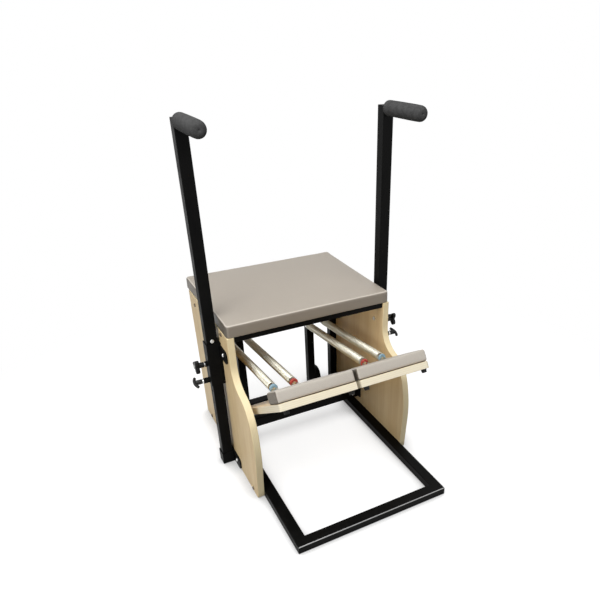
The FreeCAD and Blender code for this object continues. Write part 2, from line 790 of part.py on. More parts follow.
# Transport wheels in forks behind the rear rail
fork_inner = wheel_width / 2 + wheel_side_gap
fork_outer = fork_inner + fork_thickness
rear_rail_back = post_y + base_rail_width / 2
axle_place = point(0, wheel_y, wheel_z)


def fork_cheek(x0):
    rise = math.atan2(wheel_z - base_rail_height, wheel_y - rear_rail_back)
    upper = axle_place + point(0, -fork_boss_radius * math.sin(rise), fork_boss_radius * math.cos(rise))
    lower = axle_place + point(0, 0, -fork_boss_radius)
    corners = [
        point(0, rear_rail_back, tube_wall), point(0, wheel_y, lower.z),
        point(0, wheel_y, wheel_z), upper, point(0, rear_rail_back, base_rail_height),
    ]
    cheek = prism(corners, point(fork_thickness, 0, 0))
    cheek = cheek.fuse(Part.makeCylinder(fork_boss_radius, fork_thickness, axle_place, X_AXIS))
    cheek.translate(point(x0, 0, 0))
    return cheek


fork = fork_cheek(wheel_x - fork_outer).fuse(fork_cheek(wheel_x + fork_inner))
fork = fork.fuse(block(
    wheel_x - fork_outer, wheel_x + fork_outer, rear_rail_back, rear_rail_back + fork_thickness,
    tube_wall, base_rail_height - tube_wall))
axle_start = point(wheel_x - fork_outer - axle_head_length, wheel_y, wheel_z)
axle_end = point(wheel_x + fork_outer + axle_head_length, wheel_y, wheel_z)
axle = rod(axle_radius, axle_start, axle_end)
axle = axle.fuse(rod(axle_head_radius, axle_start, axle_start + X_AXIS * axle_head_length))
axle = axle.fuse(rod(axle_head_radius, axle_end, axle_end - X_AXIS * axle_head_length)).removeSplitter()
fork = fork.cut(rod(axle_radius, axle_start, axle_end)).removeSplitter()
save("wheel_forks", *pair(fork))
save("wheel_axles", *pair(axle))

half_wheel = wheel_width / 2
wheel_bore = axle_radius + running_clearance
wheel_section = [
    (-half_wheel, wheel_bore), (-half_wheel, wheel_hub_radius),
    (-half_wheel + wheel_dish, wheel_hub_radius + wheel_dish_draft),
    (-half_wheel + wheel_dish, wheel_rim_radius - wheel_dish_draft),
    (-half_wheel, wheel_rim_radius), (-half_wheel, wheel_radius - wheel_shoulder),
    (-half_wheel + wheel_shoulder, wheel_radius), (half_wheel - wheel_shoulder, wheel_radius),
    (half_wheel, wheel_radius - wheel_shoulder), (half_wheel, wheel_rim_radius),
    (half_wheel - wheel_dish, wheel_rim_radius - wheel_dish_draft),
    (half_wheel - wheel_dish, wheel_hub_radius + wheel_dish_draft),
    (half_wheel, wheel_hub_radius), (half_wheel, wheel_bore),
]
wheel_corners = [point(x, 0, radius) for x, radius in wheel_section]
wheel = Part.Face(Part.makePolygon(wheel_corners + [wheel_corners[0]])).revolve(point(0, 0, 0), X_AXIS, 360)
wheel.translate(point(wheel_x, wheel_y, wheel_z))
save("right_wheel", wheel)
save("left_wheel", mirrored(wheel))


# Pedals are drawn lying flat, hinge axis on the X axis and front along -Y, then set at their rest angle
def set_pedal(shape):
    placed = shape.copy()
    placed.rotate(point(0, 0, 0), X_AXIS, -pedal_rest_angle)
    placed.translate(point(0, hinge_y, hinge_height))
    return placed


board_top = pedal_board_offset + pedal_board_thickness
pedal_board = block(
    pedal_inner_x, pedal_outer_x, -pedal_reach, pedal_tail, pedal_board_offset, board_top)
outer_front = [
    edge for edge in pedal_board.Edges
    if edge.BoundBox.ZLength > 1 and edge.BoundBox.YMax < 0 and edge.BoundBox.XMin > pedal_inner_x + 1
]
pedal_board = pedal_board.makeFillet(pedal_corner_radius, outer_front)
flat_edges = [edge for edge in pedal_board.Edges if edge.BoundBox.ZLength < 0.01]
pedal_board = pedal_board.makeFillet(pedal_edge_round, flat_edges)
pad_width = pedal_outer_x - pedal_inner_x - 2 * pedal_pad_margin
pedal_pad = cushion(
    pad_width, pedal_pad_depth, pedal_pad_thickness,
    pedal_pad_corner, pedal_pad_draw_in, pedal_pad_round, pedal_pad_crown)
pedal_pad.translate(point(
    (pedal_inner_x + pedal_outer_x) / 2, -pedal_reach + pedal_pad_margin + pedal_pad_depth / 2, board_top))


def knuckle(x_middle):
    x0 = x_middle - knuckle_width / 2
    x1 = x_middle + knuckle_width / 2
    foot_bottom = pedal_board_offset - knuckle_foot_thickness
    foot = block(x0, x1, -knuckle_foot / 2, knuckle_foot / 2, foot_bottom, pedal_board_offset)
    barrel = rod(knuckle_radius, point(x0, 0, 0), point(x1, 0, 0))
    above = block(x0, x1, -knuckle_foot, knuckle_foot, pedal_board_offset, 2 * knuckle_foot)
    bore = rod(hinge_shaft_radius + running_clearance, point(x0 - 1, 0, 0), point(x1 + 1, 0, 0))
    return foot.fuse(barrel).cut(above).cut(bore).removeSplitter()


knuckles = [knuckle(x) for x in (knuckle_inner_x, knuckle_outer_x)]

bumper_y = -pedal_reach + bumper_setback
bumpers = []
for bumper_x in (pedal_inner_x + 2 * bumper_radius, pedal_outer_x - 2 * bumper_radius):
    bumpers.append(Part.makeCone(
        bumper_radius, bumper_radius - bumper_taper, bumper_height,
        point(bumper_x, bumper_y, pedal_board_offset), Z_AXIS * -1))

# The spring runs from the eye on the pedal to the peg on its post
eye_place = set_pedal(Part.Vertex(point(0, -spring_eye_reach, spring_eye_rise))).Point
peg_place = point(0, post_y, spring_peg_height)
spring_run = peg_place + Z_AXIS * hook_rise - eye_place
spring_length = spring_run.Length
spring_way = spring_run * (1 / spring_length)
spring_up = X_AXIS.cross(spring_way)


def along_spring(x, distance, rise=0.0):
    return eye_place + X_AXIS * x + spring_way * distance + spring_up * rise


# The eye's ring is set forward so that the stirrup bears on its rear wall
ring_bore = eye_ring_radius - eye_wire / 2
ring_shift = ring_bore - stirrup_wire / 2 - loose_gap
ring_centre_world = eye_place - spring_way * ring_shift
ring_local = ring_centre_world - point(0, hinge_y, hinge_height)
ring_local = FreeCAD.Rotation(X_AXIS, pedal_rest_angle).multVec(ring_local)


def eyebolt(x):
    centre = point(x, ring_local.y, ring_local.z)
    ring = Part.makeTorus(eye_ring_radius, eye_wire / 2, centre, X_AXIS)
    shank = rod(eye_shank_radius, point(x, centre.y, board_top), centre - Z_AXIS * eye_ring_radius)
    collar = rod(
        eye_collar_radius, point(x, centre.y, board_top), point(x, centre.y, board_top + eye_collar_height))
    return shank.fuse(collar).fuse(ring).removeSplitter()


eyebolts = [eyebolt(x) for x in (spring_inner_x, spring_outer_x)]
pedal_groups = {
    "pedal_board": [pedal_board],
    "pedal_pad": [pedal_pad],
    "hinge_knuckles": knuckles,
    "spring_eyebolts": eyebolts,
    "pedal_bumpers": bumpers,
}
for name, shapes in pedal_groups.items():
    placed = [set_pedal(shape) for shape in shapes]
    save("right_" + name, *placed)
    save("left_" + name, *[mirrored(shape) for shape in placed])


# Wire bent along straight runs and round corners
def bent_wire(corners, corner_radius, wire_radius):
    edges = []
    last = corners[0]
    for before, here, after in zip(corners, corners[1:], corners[2:]):
        towards = (before - here).normalize()
        away = (after - here).normalize()
        half_turn = towards.getAngle(away) / 2
        setback = corner_radius / math.tan(half_turn)
        bisector = (towards + away).normalize()
        centre = here + bisector * (corner_radius / math.sin(half_turn))
        start = here + towards * setback
        end = here + away * setback
        edges.append(Part.makeLine(last, start))
        edges.append(Part.Arc(start, centre - bisector * corner_radius, end).toShape())
        last = end
    edges.append(Part.makeLine(last, corners[-1]))
    path = Part.Wire(edges)
    ring = Part.Wire([Part.Circle(corners[0], corners[1] - corners[0], wire_radius).toShape()])
    return path.makePipeShell([ring], True, False)


# Coloured front end of a spring: a cap, and a wire stirrup through the eye
def spring_end(x):
    cap_start = along_spring(x, stirrup_length)
    cap_radius = spring_outer_diameter / 2
    cap = rod(cap_radius, cap_start, along_spring(x, stirrup_length + spring_cap_length))
    front_rim = [
        edge for edge in cap.Edges
        if (edge.CenterOfMass - cap_start).Length < 0.5 and edge.Length > cap_radius
    ]
    cap = cap.makeFillet(spring_cap_round, front_rim)
    corners = [
        along_spring(x - stirrup_half_width, stirrup_length + wire_anchor),
        along_spring(x - stirrup_half_width, 0),
        along_spring(x + stirrup_half_width, 0),
        along_spring(x + stirrup_half_width, stirrup_length + wire_anchor),
    ]
    return cap.fuse(bent_wire(corners, stirrup_corner, stirrup_wire / 2)).removeSplitter()


# Rear end of a spring: a plug, and a long loop round the peg
hook_reach = peg_radius + hook_seat_gap + hook_wire / 2
plug_end = spring_length - peg_radius - hook_slack
plug_start = plug_end - tail_plug_length


def spring_tail(x):
    plug_radius = spring_outer_diameter / 2 - tail_plug_inset
    plug_back = along_spring(x, plug_end)
    plug = rod(plug_radius, along_spring(x, plug_start), plug_back)
    rear_rim = [
        edge for edge in plug.Edges
        if (edge.CenterOfMass - plug_back).Length < 0.5 and edge.Length > plug_radius
    ]
    plug = plug.makeFillet(tail_plug_round, rear_rim)
    far = spring_length + hook_reach
    corners = [
        along_spring(x, plug_end - wire_anchor, -hook_half_width), along_spring(x, far, -hook_half_width),
        along_spring(x, far, hook_half_width), along_spring(x, plug_end - wire_anchor, hook_half_width),
    ]
    loop = bent_wire(corners, hook_half_width - hook_corner_relief, hook_wire / 2)
    return plug.fuse(loop).removeSplitter()


# Two tangent arcs from one point and heading to another
def biarc(start, start_way, end, end_way):
    chord = end - start
    ways = start_way + end_way
    spread = 2 * (1 - start_way.dot(end_way))
    lean = chord.dot(ways)
    reach = (-lean + math.sqrt(lean * lean + spread * chord.dot(chord))) / spread
    joint = (start + end + (start_way - end_way) * reach) * 0.5
    edges = []
    for first, last, corner in (
            (start, joint, start + start_way * reach), (joint, end, end - end_way * reach)):
        weight = ((corner - first).normalize()).dot((last - first).normalize())
        middle = (first + corner * (2 * weight) + last) * (1 / (2 + 2 * weight))
        edges.append(Part.Arc(first, middle, last).toShape())
    return edges


coil_radius = (spring_outer_diameter - spring_wire) / 2
coil_start = stirrup_length + spring_cap_length
coil_length = plug_start - coil_start
lead_in = 3 * spring_wire
coil_pitch = (coil_length - 2 * lead_in) / (spring_turns + 0.5)


# One point of the coil and its heading, counted in turns from the front
def coil_place(x, turns):
    angle = 2 * math.pi * turns
    across = X_AXIS * math.cos(angle) + spring_up * math.sin(angle)
    around = spring_up * math.cos(angle) - X_AXIS * math.sin(angle)
    place = along_spring(x, coil_start + lead_in + coil_pitch * turns) + across * coil_radius
    heading = around * (2 * math.pi * coil_radius) + spring_way * coil_pitch
    return place, heading.normalize()


def spring_coil(x):
    tail = spring_turns + 0.25
    first, first_way = coil_place(x, 0.25)
    last, last_way = coil_place(x, tail)
    front_foot = along_spring(x, coil_start) + X_AXIS * coil_radius
    back_foot = along_spring(x, plug_start) + (
        X_AXIS * math.cos(2 * math.pi * (tail + 0.25)) + spring_up * math.sin(2 * math.pi * (tail + 0.25))
    ) * coil_radius
    front_bend = front_foot + spring_way * spring_wire
    back_bend = back_foot - spring_way * spring_wire
    edges = [Part.makeLine(front_foot, front_bend)]
    edges.extend(biarc(front_bend, spring_way, first, first_way))
    for half in range(2 * spring_turns):
        start, start_way = coil_place(x, 0.25 + half / 2)
        end, end_way = coil_place(x, 0.75 + half / 2)
        edges.extend(biarc(start, start_way, end, end_way))
    edges.extend(biarc(last, last_way, back_bend, spring_way))
    edges.append(Part.makeLine(back_bend, back_foot))
    path = Part.Wire(edges)
    ring = Part.Wire([Part.Circle(front_foot, spring_way, spring_wire / 2).toShape()])
    return path, path.makePipeShell([ring], True, False)


# Least gap between a coil's neighbouring turns, measured on points along its wire
def least_self_gap(path):
    samples = path.discretize(Number=1200)
    step = path.Length / (len(samples) - 1)
    skip = int(math.pi * coil_radius / step)
    least = spring_length
    for index in range(0, len(samples), 3):
        for other in range(index + skip, min(index + 6 * skip, len(samples))):
            least = min(least, (samples[index] - samples[other]).Length)
    return least - spring_wire


for place, spring_x in (("inner", spring_inner_x), ("outer", spring_outer_x)):
    path, coil = spring_coil(spring_x)
    print(place, "spring gap between turns", round(least_self_gap(path), 2))
    print(place, "spring volume share", round(
        coil.Volume / (math.pi * (spring_wire / 2) ** 2 * path.Length), 4))
    save("right_%s_spring" % place, coil)
    save("left_%s_spring" % place, mirrored(coil))
    end = spring_end(spring_x)
    save("right_%s_spring_end" % place, end)
    save("left_%s_spring_end" % place, mirrored(end))
tails = [spring_tail(x) for x in (spring_inner_x, spring_outer_x)]
save("right_spring_tails", *tails)
save("left_spring_tails", *[mirrored(shape) for shape in tails])

print("spring eye", eye_place, "peg", peg_place, "length", round(spring_length, 2))
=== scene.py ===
# %% [markdown]
# A pilates chair: a padded box seat between two plywood sides, two sprung foot pedals in front, a black
# steel base on the floor and two sliding handle uprights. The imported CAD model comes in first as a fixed
# frame. Rigid solids keep their CAD shape and get a finish. Soft and wound pieces are built here and take
# the place of their CAD stand-ins.

# %% Load the frame
import math

import bmesh
import bpy
from mathutils import Matrix, Vector


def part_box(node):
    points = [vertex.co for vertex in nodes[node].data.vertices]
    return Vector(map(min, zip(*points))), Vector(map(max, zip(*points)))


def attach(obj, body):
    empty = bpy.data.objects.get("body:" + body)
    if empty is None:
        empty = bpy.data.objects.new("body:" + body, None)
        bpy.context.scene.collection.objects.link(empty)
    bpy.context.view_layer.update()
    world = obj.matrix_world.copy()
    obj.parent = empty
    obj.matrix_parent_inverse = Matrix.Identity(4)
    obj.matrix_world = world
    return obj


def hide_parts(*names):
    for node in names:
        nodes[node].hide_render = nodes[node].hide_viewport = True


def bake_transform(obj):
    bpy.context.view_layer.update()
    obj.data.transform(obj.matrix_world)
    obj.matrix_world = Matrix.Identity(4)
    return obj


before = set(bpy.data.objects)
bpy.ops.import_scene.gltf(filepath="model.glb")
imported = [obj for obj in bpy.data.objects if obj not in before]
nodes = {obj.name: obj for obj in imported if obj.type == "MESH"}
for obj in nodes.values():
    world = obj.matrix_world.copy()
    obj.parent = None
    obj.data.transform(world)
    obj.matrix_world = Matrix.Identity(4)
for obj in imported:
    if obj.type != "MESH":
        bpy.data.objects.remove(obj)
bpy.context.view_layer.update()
scene = bpy.context.scene
scene.view_settings.view_transform = "Standard"
SIDES = {"left": -1, "right": 1}

# %% [markdown]
# The camera stands where the photographer stood, in front and to the left, looking about 31 degrees down.
# A camera can be turned towards the object until it looks right by eye. Here its place, turn and focal
# length were solved from the corners of the seat and the base, so the numbers are written straight in. The
# photo is a crop, so the lens is shifted a little.

# %% Camera
def new_object(name, data):
    made = bpy.data.objects.new(name, data)
    scene.collection.objects.link(made)
    return made


look_down = math.radians(31.12)
look_right = math.radians(28.67)
camera_data = bpy.data.cameras.new("studio_camera")
camera_data.sensor_width = 36
camera_data.lens = 33.27
camera_data.shift_x = -0.0833
camera_data.shift_y = 0.1167
camera = new_object("studio_camera", camera_data)
camera.location = (-0.7335, -1.6392, 1.4367)
camera.rotation_euler = (math.pi / 2 - look_down, 0, -look_right)
scene.camera = camera
print("camera at", tuple(camera.location))

# %% [markdown]
# Every finish here is a small node tree. Writing each node with five lines of Python gets long, so a few
# helpers add a node with its values, feed a socket with a number or a link, and return the output that the
# next node needs.

# %% Node helpers
def add(tree, kind, values=None, **settings):
    node = tree.nodes.new("ShaderNode" + kind)
    for name, value in settings.items():
        setattr(node, name, value)
    for name, value in (values or {}).items():
        node.inputs[name].default_value = value
    return node


def feed(tree, value, socket):
    if isinstance(value, (int, float, tuple)):
        socket.default_value = value
    else:
        tree.links.new(value, socket)


def maths(tree, operation, first, second, clamp=False):
    node = add(tree, "Math", operation=operation, use_clamp=clamp)
    feed(tree, first, node.inputs[0])
    feed(tree, second, node.inputs[1])
    return node.outputs[0]


def mix_colours(tree, factor, first, second):
    node = add(tree, "Mix", data_type="RGBA")
    for name, value in (("Factor_Float", factor), ("A_Color", first), ("B_Color", second)):
        feed(tree, value, next(s for s in node.inputs if s.identifier == name))
    return next(s for s in node.outputs if s.identifier == "Result_Color")


def stretch_range(tree, value, low, high, new_low=0.0, new_high=1.0):
    node = add(tree, "MapRange", {"From Min": low, "From Max": high, "To Min": new_low, "To Max": new_high},
               interpolation_type="SMOOTHSTEP")
    tree.links.new(value, node.inputs["Value"])
    return node.outputs["Result"]


def measure_along(tree, vector, way):
    node = add(tree, "VectorMath", operation="DOT_PRODUCT")
    node.inputs[1].default_value = way
    tree.links.new(vector, node.inputs[0])
    return node.outputs["Value"]


def length_of(tree, vector):
    node = add(tree, "VectorMath", operation="LENGTH")
    tree.links.new(vector, node.inputs[0])
    return node.outputs["Value"]


print("node helpers ready")

# %% [markdown]
# A node group is a good home for an effect that several finishes use, because it is built once and each
# material sets its own values. A finish starts from the Principled BSDF that Blender puts in a new material.

# %% Group and finish helpers
def new_group(name, inputs, outputs):
    tree = bpy.data.node_groups.new(name, "ShaderNodeTree")
    for way, sockets in (("INPUT", inputs), ("OUTPUT", outputs)):
        for socket, kind, value in sockets:
            made = tree.interface.new_socket(socket, in_out=way, socket_type="NodeSocket" + kind)
            if value is not None:
                made.default_value = value
    return tree, tree.nodes.new("NodeGroupInput"), tree.nodes.new("NodeGroupOutput")


def place_group(tree, name, values=None):
    return add(tree, "Group", values, node_tree=bpy.data.node_groups[name])


def new_finish(name, **values):
    material = bpy.data.materials.new(name)
    material.use_nodes = True
    principled = material.node_tree.nodes["Principled BSDF"]
    for socket, value in values.items():
        principled.inputs[socket.replace("_", " ")].default_value = value
    return material, material.node_tree, principled


def object_place(tree):
    return add(tree, "TexCoord").outputs["Object"]


def raise_bump(tree, principled, height, strength, distance):
    bump = add(tree, "Bump", {"Strength": strength, "Distance": distance})
    tree.links.new(height, bump.inputs["Height"])
    tree.links.new(bump.outputs["Normal"], principled.inputs["Normal"])


def grey(level):
    return (level, level, level, 1)


print("group and finish helpers ready")

# %% [markdown]
# Fine speckle is on nearly everything: orange peel in powder coat, pores in foam, the dull patches on
# rubber. One group gives a soft cloud for colour and roughness and a fine height for the bump, and each
# finish asks for its own grain size.

# %% Shared group: fine speckle
tree, given, result = new_group(
    "fine_speckle",
    [("Vector", "Vector", None), ("Grain Scale", "Float", 1200.0), ("Cloud Scale", "Float", 14.0)],
    [("Cloud", "Float", None), ("Height", "Float", None)])
grain = add(tree, "TexNoise", {"Detail": 3.0, "Roughness": 0.6})
cloud = add(tree, "TexNoise", {"Detail": 5.0, "Roughness": 0.62})
for noise, scale in ((grain, "Grain Scale"), (cloud, "Cloud Scale")):
    tree.links.new(given.outputs["Vector"], noise.inputs["Vector"])
    tree.links.new(given.outputs[scale], noise.inputs["Scale"])
tree.links.new(stretch_range(tree, cloud.outputs["Fac"], 0.3, 0.7), result.inputs["Cloud"])
tree.links.new(grain.outputs["Fac"], result.inputs["Height"])
print("group", tree.name)

# %% [markdown]
# Steel tube loses its gloss on the corners first, and its rounded corners catch the light: the group marks
# both at once, in patches, as edge wear and a painted highlight. It compares the true surface direction with
# one rounded by a Bevel node: they differ only near an edge. A painted mask would need UV maps, and the CAD
# meshes have none.

# %% Shared group: worn and highlit edges
tree, given, result = new_group(
    "worn_and_highlit_edges",
    [("Vector", "Vector", None), ("Width", "Float", 0.002), ("Patch Scale", "Float", 40.0)],
    [("Mask", "Float", None)])
rounded = add(tree, "Bevel", samples=4)
tree.links.new(given.outputs["Width"], rounded.inputs["Radius"])
straight = add(tree, "NewGeometry")
likeness = add(tree, "VectorMath", operation="DOT_PRODUCT")
tree.links.new(rounded.outputs["Normal"], likeness.inputs[0])
tree.links.new(straight.outputs["Normal"], likeness.inputs[1])
edge = stretch_range(tree, likeness.outputs["Value"], 0.99, 0.86)
patches = add(tree, "TexNoise", {"Detail": 4.0, "Roughness": 0.7})
tree.links.new(given.outputs["Vector"], patches.inputs["Vector"])
tree.links.new(given.outputs["Patch Scale"], patches.inputs["Scale"])
edge_patches = stretch_range(tree, patches.outputs["Fac"], 0.42, 0.62)
tree.links.new(maths(tree, "MULTIPLY", edge, edge_patches), result.inputs["Mask"])
print("group", tree.name)

# %% [markdown]
# Plywood shows two faces: long pale grain on the sheet, and thin stripes of glued layers where the sheet is
# cut. The group takes a place whose third axis runs through the sheet, and how far the surface faces along
# that axis. It then chooses grain or stripes.

# %% Shared group: plywood
tree, given, result = new_group(
    "plywood",
    [("Vector", "Vector", None), ("Facing", "Float", 1.0), ("Layer", "Float", 0.0056),
     ("Face Pale", "Color", (0.83, 0.64, 0.365, 1)), ("Face Deep", "Color", (0.755, 0.555, 0.295, 1)),
     ("Edge Pale", "Color", (0.94, 0.81, 0.53, 1)), ("Edge Deep", "Color", (0.87, 0.71, 0.41, 1))],
    [("Colour", "Color", None), ("Height", "Float", None), ("Gloss", "Float", None)])
wide = add(tree, "Mapping", {"Scale": (2.2, 26.0, 10.0)})
fine = add(tree, "Mapping", {"Scale": (26.0, 620.0, 90.0)})
for mapping in (wide, fine):
    tree.links.new(given.outputs["Vector"], mapping.inputs["Vector"])
bands = add(tree, "TexNoise", {"Scale": 1.0, "Detail": 6.0, "Roughness": 0.58, "Distortion": 0.9})
pores = add(tree, "TexNoise", {"Scale": 1.0, "Detail": 3.0, "Roughness": 0.55})
tree.links.new(wide.outputs["Vector"], bands.inputs["Vector"])
tree.links.new(fine.outputs["Vector"], pores.inputs["Vector"])
banding = stretch_range(tree, bands.outputs["Fac"], 0.34, 0.68)
pore = stretch_range(tree, pores.outputs["Fac"], 0.56, 0.74)
sheet = mix_colours(tree, banding, given.outputs["Face Pale"], given.outputs["Face Deep"])
sheet = mix_colours(tree, maths(tree, "MULTIPLY", pore, 0.35), sheet, given.outputs["Face Deep"])
split = add(tree, "SeparateXYZ")
tree.links.new(given.outputs["Vector"], split.inputs[0])
turns = maths(tree, "DIVIDE", split.outputs["Z"], given.outputs["Layer"])
wave = maths(tree, "SINE", maths(tree, "MULTIPLY", turns, 2 * math.pi), 0.0)
stripe = stretch_range(tree, wave, -0.1, 0.5)
stripe = maths(tree, "MULTIPLY", stripe, stretch_range(tree, bands.outputs["Fac"], 0.2, 0.7, 0.25, 0.8))
cut = mix_colours(tree, stripe, given.outputs["Edge Pale"], given.outputs["Edge Deep"])
on_sheet = stretch_range(tree, given.outputs["Facing"], 0.75, 0.92)
tree.links.new(mix_colours(tree, on_sheet, cut, sheet), result.inputs["Colour"])
tree.links.new(maths(tree, "SUBTRACT", banding, pore), result.inputs["Height"])
tree.links.new(stretch_range(tree, pores.outputs["Fac"], 0.3, 0.7, 0.38, 0.52), result.inputs["Gloss"])
print("group", tree.name)

# %% [markdown]
# Upholstery vinyl is a smooth sheet pressed with a leather grain: rounded cells about a millimetre wide,
# with thin valleys. A Voronoi texture gives the cells. Scaling noise alone would look like sand.

# %% Shared group: pressed vinyl grain
tree, given, result = new_group(
    "pressed_grain",
    [("Vector", "Vector", None), ("Cell Scale", "Float", 620.0)],
    [("Height", "Float", None), ("Cloud", "Float", None), ("Valley", "Float", None)])
wobble = add(tree, "TexNoise", {"Scale": 260.0, "Detail": 2.0})
tree.links.new(given.outputs["Vector"], wobble.inputs["Vector"])
shift = add(tree, "VectorMath", operation="MULTIPLY_ADD")
shift.inputs[1].default_value = (0.0012, 0.0012, 0.0012)
tree.links.new(wobble.outputs["Color"], shift.inputs[0])
tree.links.new(given.outputs["Vector"], shift.inputs[2])
cells = add(tree, "TexVoronoi", feature="DISTANCE_TO_EDGE")
tree.links.new(shift.outputs["Vector"], cells.inputs["Vector"])
tree.links.new(given.outputs["Cell Scale"], cells.inputs["Scale"])
raised = stretch_range(tree, cells.outputs["Distance"], 0.0, 0.28)
broad = add(tree, "TexNoise", {"Scale": 5.0, "Detail": 4.0, "Roughness": 0.55})
tree.links.new(given.outputs["Vector"], broad.inputs["Vector"])
tree.links.new(raised, result.inputs["Height"])
tree.links.new(stretch_range(tree, broad.outputs["Fac"], 0.3, 0.7), result.inputs["Cloud"])
tree.links.new(stretch_range(tree, cells.outputs["Distance"], 0.10, 0.0), result.inputs["Valley"])
print("group", tree.name)

# %% [markdown]
# The pedals slope up to the front. Their hinge, their two directions and the top of their boards are needed
# by the finishes, the pads and the bolts, so they are worked out once.

# %% Pedal slope
pedal_hinge = Vector((0, 0.165, 0.118))
pedal_angle = math.radians(33.5)
pedal_forward = Vector((0, -math.cos(pedal_angle), math.sin(pedal_angle)))
pedal_normal = Vector((0, math.sin(pedal_angle), math.cos(pedal_angle)))
board_top = 0.0345
board_level = pedal_hinge.dot(pedal_normal) + board_top
print("pedals slope by", round(math.degrees(pedal_angle), 1), "degrees")

# %% [markdown]
# The seat and the foot pads wear greige vinyl, darker on their left and right ends. The seat's sides carry
# painted shade, a colour darker than its top, and its top rim carries a painted highlight, a paler colour
# where it rounds over. A dark line painted just above each board is painted shade in the crease where the pad
# meets it. Bands and rim are told apart by the way the surface faces, so they need no seams in the mesh. The
# broad cloud shifts the colour a little.

# %% Finish: greige vinyl
def vinyl_finish(name, deep, pale, valley_colour, bands, rim_highlight_colour=None, crease_shade=None):
    material, tree, principled = new_finish(name, Specular_IOR_Level=0.38)
    grain = place_group(tree, "pressed_grain")
    tree.links.new(object_place(tree), grain.inputs["Vector"])
    colour = mix_colours(tree, grain.outputs["Cloud"], deep, pale)
    facing_way = add(tree, "TexCoord").outputs["Normal"]
    for way, low, high, band_colour in bands:
        facing = maths(tree, "ABSOLUTE", measure_along(tree, facing_way, way), 0.0)
        colour = mix_colours(tree, stretch_range(tree, facing, low, high), colour, band_colour)
    # painted highlight: the rounded top rim is painted paler
    if rim_highlight_colour:
        upward = measure_along(tree, facing_way, (0, 0, 1))
        inside = stretch_range(tree, upward, 0.985, 0.90)
        on_rim_highlight = maths(tree, "MULTIPLY", stretch_range(tree, upward, 0.55, 0.75), inside)
        colour = mix_colours(tree, on_rim_highlight, colour, rim_highlight_colour)
    valley = maths(tree, "MULTIPLY", grain.outputs["Valley"], 0.35)
    colour = mix_colours(tree, valley, colour, valley_colour)
    # painted shade: a dark line just above the board, in the crease where the pad meets it
    if crease_shade:
        way, clear_above, dark_below = crease_shade
        level = measure_along(tree, object_place(tree), way)
        in_crease_shade = stretch_range(tree, level, clear_above, dark_below)
        colour = mix_colours(tree, in_crease_shade, colour, (0.03, 0.027, 0.024, 1))
    tree.links.new(colour, principled.inputs["Base Color"])
    gloss = stretch_range(tree, grain.outputs["Cloud"], 0.0, 1.0, 0.36, 0.46)
    tree.links.new(gloss, principled.inputs["Roughness"])
    raise_bump(tree, principled, grain.outputs["Height"], 0.35, 0.0003)
    return material


end_band = ((1, 0, 0), 0.6, 0.85, (0.115, 0.096, 0.074, 1))
# painted shade: this band paints the seat's sides darker than its top
side_shade_band = ((0, 0, 1), 0.8, 0.5, (0.27, 0.234, 0.192, 1))
seat_vinyl = vinyl_finish(
    "seat_vinyl", deep=(0.430, 0.380, 0.320, 1), pale=(0.460, 0.410, 0.350, 1),
    valley_colour=(0.26, 0.22, 0.175, 1), bands=(side_shade_band, end_band), rim_highlight_colour=(0.64, 0.585, 0.51, 1))
pad_vinyl = vinyl_finish(
    "pad_vinyl", deep=(0.520, 0.475, 0.415, 1), pale=(0.550, 0.505, 0.445, 1),
    valley_colour=(0.33, 0.29, 0.24, 1), bands=(end_band,),
    crease_shade=(pedal_normal, board_level + 0.0035, board_level + 0.0025))
print("finishes", seat_vinyl.name, pad_vinyl.name)

# %% [markdown]
# Three sheets of plywood lie three ways: the side panels stand on edge, the seat board lies flat, and the
# pedal boards slope. One function makes a finish for a sheet from its grain, across and through
# directions, so that the stripes always run with the sheet.

# %% Finish: plywood for each sheet
def plywood_finish(name, grain_way, across_way, through_way, layer, colours):
    material, tree, principled = new_finish(name, Specular_IOR_Level=0.2)
    place = object_place(tree)
    facing_way = add(tree, "TexCoord").outputs["Normal"]
    joined = add(tree, "CombineXYZ")
    for socket, way in zip(joined.inputs, (grain_way, across_way, through_way)):
        tree.links.new(measure_along(tree, place, way), socket)
    facing = measure_along(tree, facing_way, through_way)
    sheet = place_group(tree, "plywood", {"Layer": layer, **colours})
    tree.links.new(joined.outputs[0], sheet.inputs["Vector"])
    tree.links.new(maths(tree, "ABSOLUTE", facing, 0.0), sheet.inputs["Facing"])
    tree.links.new(sheet.outputs["Colour"], principled.inputs["Base Color"])
    tree.links.new(sheet.outputs["Gloss"], principled.inputs["Roughness"])
    raise_bump(tree, principled, sheet.outputs["Height"], 0.25, 0.0004)
    return material


panel_plywood = plywood_finish("panel_plywood", (0, 0, 1), (0, 1, 0), (1, 0, 0), 0.0050, {})
board_plywood = plywood_finish("board_plywood", (1, 0, 0), (0, 1, 0), (0, 0, 1), 0.0050, {})
pedal_plywood = plywood_finish(
    "pedal_plywood", pedal_forward, (1, 0, 0), pedal_normal, 0.0060,
    {"Edge Pale": (0.90, 0.82, 0.64, 1), "Edge Deep": (0.84, 0.74, 0.53, 1)})
print("finishes", panel_plywood.name, board_plywood.name, pedal_plywood.name)

# %% [markdown]
# The frame is welded steel with black powder coat: satin, with a faint orange peel, and a little greyer on
# the corners, partly wear where hands and straps rub them and partly a painted highlight where they catch
# the light. Moulded plastic, foam and rubber differ from it in colour, gloss and grain only, so one function
# makes them all.

